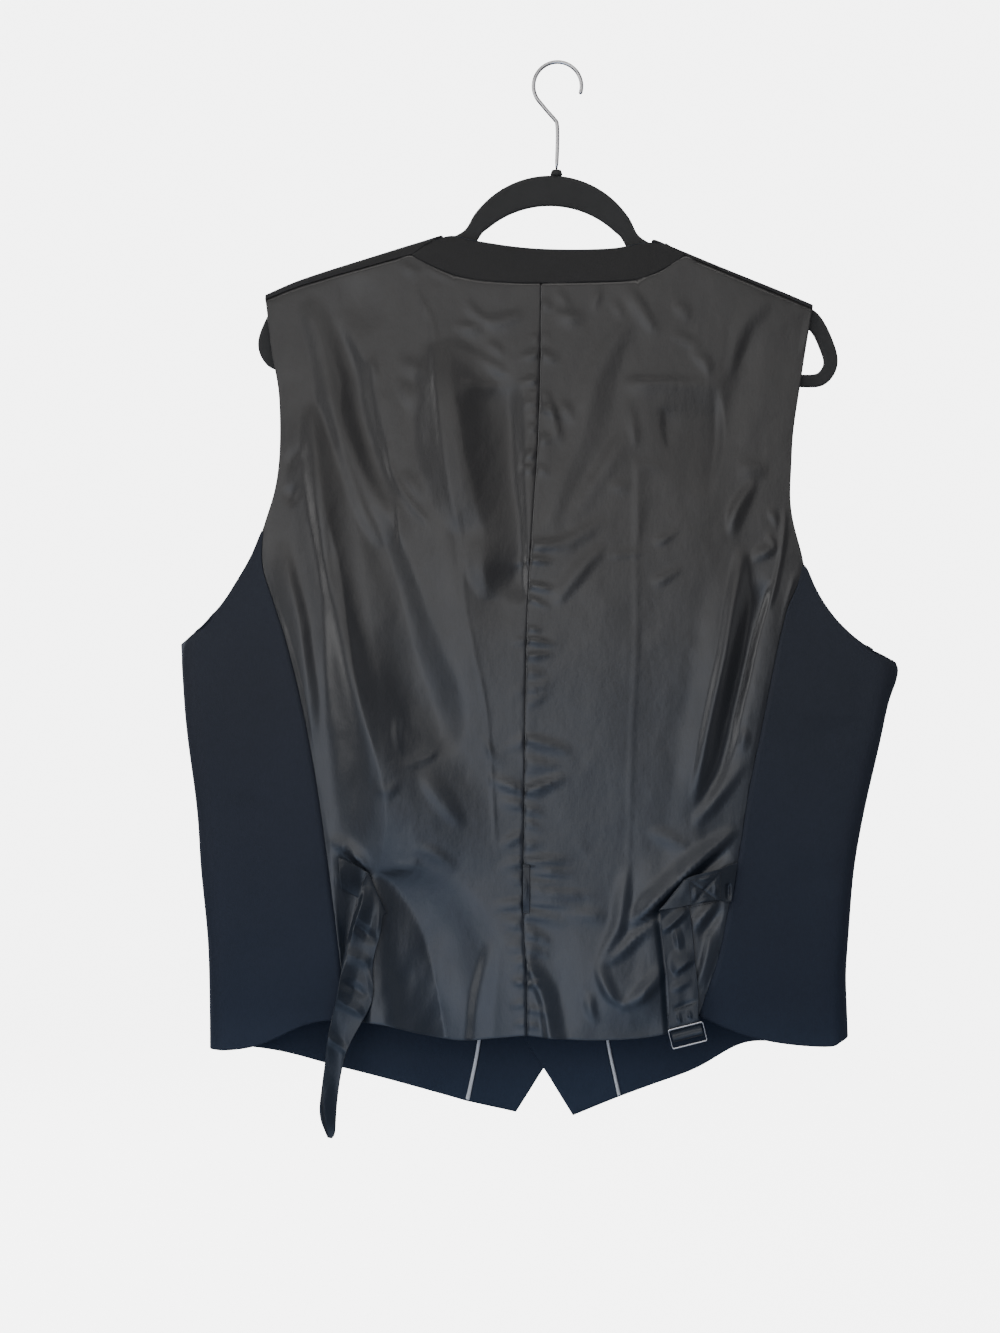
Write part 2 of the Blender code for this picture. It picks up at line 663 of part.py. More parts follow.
def make_back(side, name):
    """Half of the satin back, from the middle seam to the armhole and the side seam."""
    armhole = BACK_ARMHOLE[side]
    top_z, side_top = armhole[0][1], SIDE_SEAM[side][0][1]
    arm_levels = [mix(top_z, side_top, i / ARMHOLE_ROWS) for i in range(ARMHOLE_ROWS)]
    right = [(by_key(armhole, 1, z)[0], z) for z in arm_levels]
    right[0] = moved([wrap_place(side, 1.0, 1.0)], 0.0, -2.0 * GAP)[0]
    right += [(seam_x(side, z) - side * GAP, z) for z in seam_levels(side)]
    down = [(z - right[0][1]) / (right[-1][1] - right[0][1]) for _, z in right]
    centre_top, centre_bottom = CENTRE_SEAM[0][1], CENTRE_SEAM[-1][1]
    left = [mix(centre_top, centre_bottom, v) for v in down]
    left = [(by_key(CENTRE_SEAM, 1, z)[0] + side * GAP / 2, z) for z in left]

    top_places = neck_points(side)[:-1] + [wrap_place(side, 1.0, u) for u in shoulder_columns()]
    top_places = moved(top_places, 0.0, -2.0 * GAP)
    top_places[0] = left[0]
    top_places[-1] = right[0]
    start, end = top_places[0][0], top_places[-1][0]
    across = [(x - start) / (end - start) for x, _ in top_places]
    hem_start, hem_end = left[-1][0], right[-1][0]

    def top(u):
        return top_places[min(range(len(across)), key=lambda j: abs(across[j] - u))]

    def bottom(u):
        x = mix(hem_start, hem_end, u)
        return x, mix(by_key(SATIN_HEM[side], 0, x)[1], left[-1][1], 1.0 if u == 0.0 else 0.0)

    rows = patch(top, bottom, left, right, across, down)
    sheet = Sheet((0.0, 1.0, 0.0))
    grid = sheet.add([[cloth_point(side, turn_of(side, x, z, True), z) for x, z in row] for row in rows])
    sheet.finish()
    sheet.square_off(grid[0])
    return sheet_wall(name, "satin", sheet, SATIN_WALL)


def make_front(side, name):
    """Wool front: over the shoulder, round the side fold and on to the side seam of the back."""
    edge, armhole = FRONT_EDGE[side], FRONT_ARMHOLE[side]
    neck, tip = SHOULDER[side][1], SHOULDER[side][-1]
    underarm = UNDERARM[side][-1]
    low_z, end_z = underarm[1], edge[-1][1]
    fold_end = FRONT_HEM[side][-1][1]
    sheet = Sheet((0.0, -1.0, 0.0))

    def on_front(x, z):
        return turn_of(side, x, z, False), z

    # From the shoulder down to the level of the underarm
    top_left = [on_front(straight_by_z(edge, z), z) for z in (mix(neck[1], low_z, v) for v in FRONT_TOP_ROWS)]
    levels = [mix(tip[1], low_z, v) for v in FRONT_TOP_ROWS]
    top_right = [on_front(by_key(armhole, 1, z)[0], z) for z in levels]
    top_right[-1] = (1.0, low_z)

    def lane(v):
        """Columns of the lower panel at a row: the facing's edge keeps to its own line."""
        left_turn, left_z = on_front(straight_by_z(edge, mix(low_z, end_z, v)), mix(low_z, end_z, v))
        x = by_key(FACING_LINE[side], 1, mix(left_z, mix(low_z, fold_end, v), 0.2))[0]
        line = (on_front(x, left_z)[0] - left_turn) / (1.0 - left_turn)
        width = half_width_at(side, left_z)
        piping = PIPING_WIDTH / width / (1.0 - left_turn)
        nose = SIDE_FOLD_REACH / width / (1.0 - left_turn)
        columns = [line * j / FACING_COLUMNS for j in range(FACING_COLUMNS + 1)]
        columns.append(line + piping)
        columns += [mix(line + piping, 1.0 - nose, j / 5) for j in range(1, 6)]
        columns += [1.0 - nose * j / 3 for j in (2, 1, 0)]
        return columns

    def spread(v):
        return [mix(even, low, v * v) for even, low in zip(shoulder_columns(), lane(0.0))]

    def shoulder_top(u):
        x, z = wrap_place(side, 0.0, u)
        return on_front(x, z)

    def waist_line(u):
        return mix(top_left[-1][0], 1.0, u), low_z

    upper = patch(shoulder_top, waist_line, top_left, top_right, spread, FRONT_TOP_ROWS)
    wrap = []
    for share in WRAP_STATIONS:
        row = []
        for u in shoulder_columns():
            x, z = wrap_place(side, share, u)
            row.append(cloth_point(side, turn_of(side, x, z, True), z))
        wrap.append(row)
    body = [[cloth_point(side, turn, z) for turn, z in row] for row in upper]
    shoulder_grid = sheet.add(wrap + body)

    # From the underarm level down to the hem
    low_left = [on_front(straight_by_z(edge, z), z) for z in (mix(low_z, end_z, v) for v in LOW_ROWS)]
    fold_line = [(1.0, mix(low_z, fold_end, v)) for v in LOW_ROWS]

    def front_hem(u):
        turn = mix(low_left[-1][0], 1.0, u)
        return turn, by_key(FRONT_HEM[side], 0, x_at(side, turn, fold_end))[1]

    lower = patch(waist_line, front_hem, low_left, fold_line, lane, LOW_ROWS)
    grid = sheet.add([[cloth_point(side, turn, z) for turn, z in row] for row in lower])

    # Round the side fold to the side seam
    levels = seam_levels(side)
    split = len(UNDERARM_ROWS) - 1

    def on_seam(z):
        return turn_of(side, seam_x(side, z), z, True), z

    seam_low = [on_seam(z) for z in levels[split:]]
    seam_high = [on_seam(z) for z in levels[:split + 1]]

    def underarm_line(u):
        return mix(1.0, seam_low[0][0], u), low_z

    def side_hem(u):
        turn = mix(1.0, seam_low[-1][0], u)
        return turn, by_key(SIDE_HEM[side], 0, x_at(side, turn, fold_end))[1]

    side_panel = patch(underarm_line, side_hem, fold_line, seam_low, SIDE_COLUMNS, LOW_ROWS)
    sheet.add([[cloth_point(side, turn, z) for turn, z in row] for row in side_panel])

    arm_places = [by_key(UNDERARM[side], 1, z) for z in levels[:split + 1]]
    arm_edge = [(turn_of(side, x, z, True), z) for x, z in arm_places]
    arm_edge[0], arm_edge[-1] = seam_high[0], (1.0, low_z)

    def point_top(u):
        return seam_high[0]

    gusset = patch(point_top, underarm_line, arm_edge, seam_high, SIDE_COLUMNS, UNDERARM_ROWS)
    sheet.add([[cloth_point(side, turn, z) for turn, z in row] for row in gusset])

    sheet.finish()
    sheet.square_off(shoulder_grid[0])
    sheet.square_off([shoulder_grid[i][0] for i in range(len(WRAP_STATIONS))])
    return sheet_wall(name, "wool", sheet, WOOL_WALL), sheet, grid


def make_facing_and_piping(side, sheet, grid, facing_name, piping_name):
    """Facing along the front's edge, and the piping that edges it, on the inside of the front."""
    rows = [EDGE_INSET, *range(1, len(grid) - 1), len(grid) - 1 - EDGE_INSET]
    columns = [EDGE_INSET, *range(1, FACING_COLUMNS), FACING_COLUMNS - SEAM_INSET]
    inside = -(WOOL_WALL + GAP)
    strip_on(facing_name, "wool", sheet, grid, rows, columns, inside, inside - FACING_WALL)
    bead = [FACING_COLUMNS + PIPING_INSET, FACING_COLUMNS + 1 - PIPING_INSET]
    strip_on(piping_name, "piping", sheet, grid, rows, bead, inside, inside - PIPING_WALL)


def make_neck_band():
    """Wool band round the back of the neck, between the two shoulder seams."""
    stations = WRAP_STATIONS
    bottom_left, bottom_right = neck_points(1), neck_points(-1)
    lower = list(reversed(bottom_left)) + bottom_right[1:]
    down = [(stations[0] - share) / (stations[0] - stations[-1]) for share in stations]

    def end(side):
        return moved([wrap_place(side, share, 0.0) for share in stations], -side * 2.0 * GAP, -2.0 * GAP)

    left, right = end(1), end(-1)
    across = [(x - lower[0][0]) / (lower[-1][0] - lower[0][0]) for x, _ in lower]

    def bottom_edge(u):
        x, z = lower[min(range(len(across)), key=lambda j: abs(across[j] - u))]
        return (left[0] if u == 0.0 else right[0] if u == 1.0 else (x, z))

    def top_edge(u):
        x = mix(left[-1][0], right[-1][0], u)
        return (left[-1] if u == 0.0 else right[-1] if u == 1.0 else (x, by_key(BAND_TOP, 0, x)[1]))

    rows = patch(bottom_edge, top_edge, left, right, across, down)
    sheet = Sheet((0.0, 1.0, 0.0))
    grid = sheet.add([[back_point(x, z) for x, z in row] for row in rows])
    sheet.finish()
    sheet.square_off(grid[0])
    sheet.square_off([row[0] for row in grid] + [row[-1] for row in grid])
    return sheet_wall("neck_band", "wool", sheet, BAND_WALL)


def strap_rows(table, columns=3):
    rows = []
    for ax, az, a_out, bx, bz, b_out in table:
        a, b = back_point(ax, az, a_out), back_point(bx, bz, b_out)
        rows.append([a.lerp(b, j / columns) for j in range(columns + 1)])
    return rows


def slider_frame():
    """Place of the slider: its middle, and its directions along the bars, down and out."""
    centre = back_point(*SLIDER_CENTRE, SLIDER_OUT)
    along = Vector((-math.cos(SLIDER_TILT), 0.0, math.sin(SLIDER_TILT)))
    down = Vector((-math.sin(SLIDER_TILT), 0.0, -math.cos(SLIDER_TILT)))
    return centre, along, down, Vector((0.0, 1.0, 0.0))


def make_straps():
    ribbon("strap_left", "satin", strap_rows(STRAP_LEFT), STRAP_WALL)
    rows = strap_rows(STRAP_RIGHT)
    centre, along, down, out = slider_frame()
    for drop, stand in SLIDER_LOOP:
        middle = centre + down * drop + out * stand
        rows.append([middle + along * STRAP_WIDTH * (0.5 - j / 3) for j in range(4)])
    ribbon("strap_right", "satin", rows, STRAP_WALL)


def make_keeper():
    """Narrow loop on the middle seam that the strap passes behind."""
    rows = []
    for share, stand in KEEPER_STANDS:
        z = mix(*KEEPER_Z, share)
        rows.append([back_point(KEEPER_X + KEEPER_WIDTH * (0.5 - j / 2), z, stand) for j in range(3)])
    ribbon("keeper_loop", "satin", rows, STRAP_WALL)


# ---------------------------------------------------------------- hard pieces

def plate_of_cells(name, finish, xs, zs, open_cells, thickness, place):
    """Flat frame: a plate cut into cells, with some of them open."""
    filled = {(i, j) for i in range(len(xs) - 1) for j in range(len(zs) - 1)} - open_cells
    numbers, vertices, faces = {}, [], []

    def corner(i, j, face):
        key = (i, j, face)
        if key not in numbers:
            numbers[key] = len(vertices)
            vertices.append(place(xs[i], zs[j], thickness * (0.5 - face)))
        return numbers[key]

    for i, j in sorted(filled):
        ring = ((i, j), (i + 1, j), (i + 1, j + 1), (i, j + 1))
        faces.append(tuple(corner(*point, 0) for point in ring))
        faces.append(tuple(corner(*point, 1) for point in reversed(ring)))
        for k, step in enumerate(((0, -1), (1, 0), (0, 1), (-1, 0))):
            if (i + step[0], j + step[1]) not in filled:
                a, b = ring[k], ring[(k + 1) % 4]
                faces.append((corner(*b, 0), corner(*a, 0), corner(*a, 1), corner(*b, 1)))
    obj = new_object(name, finish, vertices, faces)
    face_outward(obj)
    round_edges(obj, SLIDER_EDGE, 1)


def round_edges(obj, width, segments):
    bevel = obj.modifiers.new("edges", "BEVEL")
    bevel.width = width * MM
    bevel.segments = segments
    bevel.limit_method = "ANGLE"
    bevel.angle_limit = math.radians(60.0)


def face_outward(obj):
    mesh = bmesh.new()
    mesh.from_mesh(obj.data)
    bmesh.ops.recalc_face_normals(mesh, faces=mesh.faces)
    mesh.to_mesh(obj.data)
    mesh.free()


def make_slider():
    """Strap slider: a flat frame with a middle bar."""
    centre, along, down, out = slider_frame()
    width, height = SLIDER_SIZE
    half_bar = SLIDER_BAR / 2
    xs = (-width / 2, -width / 2 + SLIDER_BAR, width / 2 - SLIDER_BAR, width / 2)
    zs = (-height / 2, -height / 2 + SLIDER_BAR, -half_bar, half_bar, height / 2 - SLIDER_BAR, height / 2)

    def place(x, z, y):
        return centre + along * x + down * z + out * y

    plate_of_cells("strap_slider", "gunmetal", xs, zs, {(1, 1), (1, 3)}, SLIDER_THICK, place)


def make_button(number):
    """Button of the left front: a turned disc with a raised rim, lying on the cloth."""
    z = BUTTON_TOP_Z - BUTTON_STEP * number
    face = cloth_point(1, turn_of(1, BUTTON_X, z, False), z).y - GAP
    vertices, faces, rings = [], [], []
    for radius, stand in BUTTON_PROFILE:
        count = 1 if radius == 0.0 else BUTTON_SEGMENTS
        rings.append([len(vertices) + k for k in range(count)])
        for k in range(count):
            angle = 2 * math.pi * k / BUTTON_SEGMENTS
            vertices.append((BUTTON_X + radius * math.cos(angle), face - stand, z + radius * math.sin(angle)))
    for inner, outer in zip(rings, rings[1:]):
        for k in range(BUTTON_SEGMENTS):
            n = (k + 1) % BUTTON_SEGMENTS
            if len(inner) == 1:
                faces.append((inner[0], outer[k], outer[n]))
            elif len(outer) == 1:
                faces.append((inner[k], outer[0], inner[n]))
            else:
                faces.append((inner[k], outer[k], outer[n], inner[n]))
    obj = new_object(f"button_{number + 1}", "horn", vertices, faces)
    face_outward(obj)


def hanger_stations():
    """Outer and inner edge of the hanger's band on one half, from the arch's top to the bar's middle."""
    stations = []
    for k in range(ARCH_STEPS + 1):
        station = []
        for top, radius, angle in (
            (ARCH_TOP, ARCH_RADIUS, ARCH_OUTER_TURN),
            (ARCH_TOP - ARCH_BAND, ARCH_INNER_RADIUS, ARCH_INNER_TURN),
        ):
            turn = angle * k / ARCH_STEPS
            station += [radius * math.sin(turn), top - radius * (1.0 - math.cos(turn))]
        stations.append(tuple(station))
    return stations + list(HANGER_BAND)


def make_hanger_body():
    """Flat plate of the hanger: neck arch, arms, end loops and lower bar, as one closed band."""
    half = hanger_stations()
    bar = (0.0, half[-1][1], 0.0, half[-1][3])
    ring = [tuple(row) for row in half] + [bar]
    ring += [(-ox, oz, -ix, iz) for ox, oz, ix, iz in reversed(half[1:])]
    vertices, faces = [], []
    half_plate = HANGER_PLATE / 2
    for ox, oz, ix, iz in ring:
        vertices += [(ox, half_plate, oz), (ix, half_plate, iz), (ix, -half_plate, iz), (ox, -half_plate, oz)]
    count = len(ring)
    for k in range(count):
        n = (k + 1) % count
        for c in range(4):
            d = (c + 1) % 4
            faces.append((4 * k + c, 4 * k + d, 4 * n + d, 4 * n + c))
    obj = new_object("hanger_body", "velvet", vertices, faces)
    face_outward(obj)
    round_edges(obj, HANGER_EDGE, 2)
    obj.location = (HANGER_SHIFT_X * MM, 0.0, 0.0)
    obj.rotation_euler = (0.0, -HANGER_TILT, 0.0)


def make_collar():
    """Short collar on the arch, where the wire goes in."""
    mesh = bmesh.new()
    height = COLLAR_TOP - ARCH_TOP - GAP
    middle = Vector((COLLAR_X, 0.0, COLLAR_TOP - height / 2))
    bmesh.ops.create_cone(
        mesh, cap_ends=True, segments=20, radius1=COLLAR_RADIUS * MM, radius2=COLLAR_TOP_RADIUS * MM,
        depth=height * MM, matrix=Matrix.Translation(middle * MM),
    )
    data = bpy.data.meshes.new("hanger_collar")
    mesh.to_mesh(data)
    mesh.free()
    obj = bpy.data.objects.new("hanger_collar", data)
    bpy.context.scene.collection.objects.link(obj)
    data.materials.append(make_finish("hanger_collar", "velvet"))


def make_hook():
    """Wire hook: a straight stem, a bend to one side, and an open round crook."""
    centre_z = -(HOOK_RADIUS - HOOK_WIRE)
    route = [(COLLAR_X, COLLAR_TOP + GAP), *HOOK_STEM]
    for k in range(HOOK_STEPS + 1):
        angle = mix(*HOOK_ARC, k / HOOK_STEPS)
        route.append((HOOK_RADIUS * math.cos(angle), centre_z + HOOK_RADIUS * math.sin(angle)))
    curve = bpy.data.curves.new("hanger_hook", "CURVE")
    curve.dimensions = "3D"
    curve.bevel_depth = HOOK_WIRE * MM
    curve.bevel_resolution = 2
    curve.use_fill_caps = True
    spline = curve.splines.new("POLY")
    spline.points.add(len(route) - 1)
    for point, (x, z) in zip(spline.points, route):
        point.co = (x * MM, 0.0, z * MM, 1.0)
    obj = bpy.data.objects.new("hanger_hook", curve)
    bpy.context.scene.collection.objects.link(obj)
    curve.materials.append(make_finish("hanger_hook", "chrome"))


def main():
    for old in list(bpy.data.objects):
        bpy.data.objects.remove(old, do_unlink=True)
    make_hanger_body()
    make_collar()
    make_hook()
    make_back(1, "back_left")
    make_back(-1, "back_right")
    make_neck_band()
    for side, word in ((1, "left"), (-1, "right")):
        _, sheet, grid = make_front(side, f"front_{word}")
        make_facing_and_piping(side, sheet, grid, f"facing_{word}", f"piping_{word}")
    make_straps()
    make_slider()
    make_keeper()
    for number in range(BUTTON_COUNT):
        make_button(number)


main()
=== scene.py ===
import math

import bmesh
import bpy
import numpy as np
from mathutils import Matrix, Vector
from mathutils.bvhtree import BVHTree
from mathutils.kdtree import KDTree


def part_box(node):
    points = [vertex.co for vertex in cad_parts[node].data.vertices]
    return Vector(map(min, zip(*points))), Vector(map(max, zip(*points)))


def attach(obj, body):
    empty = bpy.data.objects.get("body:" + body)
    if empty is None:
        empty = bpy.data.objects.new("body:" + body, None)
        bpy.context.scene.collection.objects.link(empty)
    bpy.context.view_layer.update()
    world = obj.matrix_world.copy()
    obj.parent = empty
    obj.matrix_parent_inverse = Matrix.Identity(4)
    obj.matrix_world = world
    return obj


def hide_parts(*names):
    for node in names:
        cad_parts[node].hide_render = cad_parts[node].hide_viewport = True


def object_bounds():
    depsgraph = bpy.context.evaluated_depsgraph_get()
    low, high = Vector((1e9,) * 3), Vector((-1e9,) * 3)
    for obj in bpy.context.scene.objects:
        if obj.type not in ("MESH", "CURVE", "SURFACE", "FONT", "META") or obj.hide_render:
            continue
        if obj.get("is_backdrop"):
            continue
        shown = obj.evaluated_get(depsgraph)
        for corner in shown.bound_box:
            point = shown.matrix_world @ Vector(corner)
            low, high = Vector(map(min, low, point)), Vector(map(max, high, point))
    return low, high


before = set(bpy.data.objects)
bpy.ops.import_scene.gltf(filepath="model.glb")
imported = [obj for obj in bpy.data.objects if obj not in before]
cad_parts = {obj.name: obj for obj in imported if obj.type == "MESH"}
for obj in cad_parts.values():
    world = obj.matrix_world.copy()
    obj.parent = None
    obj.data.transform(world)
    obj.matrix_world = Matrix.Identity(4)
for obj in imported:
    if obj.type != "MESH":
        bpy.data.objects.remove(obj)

bl_info = {
    "name": "Suit waistcoat looks",
    "version": (1, 0, 0),
    "blender": (4, 5, 0),
    "location": "View3D > Sidebar > Waistcoat",
    "description": "Cloth, trim and hanger of a suit waistcoat, on its fixed frame",
    "category": "Object",
}

MM = 0.001
SEAM_REACH = 0.25 * MM
BAND_REACH = 1.1 * MM
CLEAR = 0.25 * MM

# Points of the satin that are drawn towards the middle seam, where its creases are narrow
SEAM_CROWD = 0.65
SEAM_CROWD_REACH = 7.0 * MM

# Finding one side of a solid wall: least and most thickness met, as shares of the wall; least
# cosine between faces of one side; least share of the largest side that counts as a whole side and
# as a folded part
WALL_MET = (0.6, 1.7)
SIDE_BEND = 0.3
RIM_BEND = 0.93
WHOLE_SIDE = 0.4
FOLDED_PART = 0.05

# Making it smooth: rounds that bring the surface back to the wall's points, most rounds that
# smooth faces which turn over, and the least cosine of a face that doesn't
HOLDING_ROUNDS = 3
UNFOLDING_ROUNDS = 60
TURNED = 0.6

# ---------------------------------------------------------------- folds of the cloth

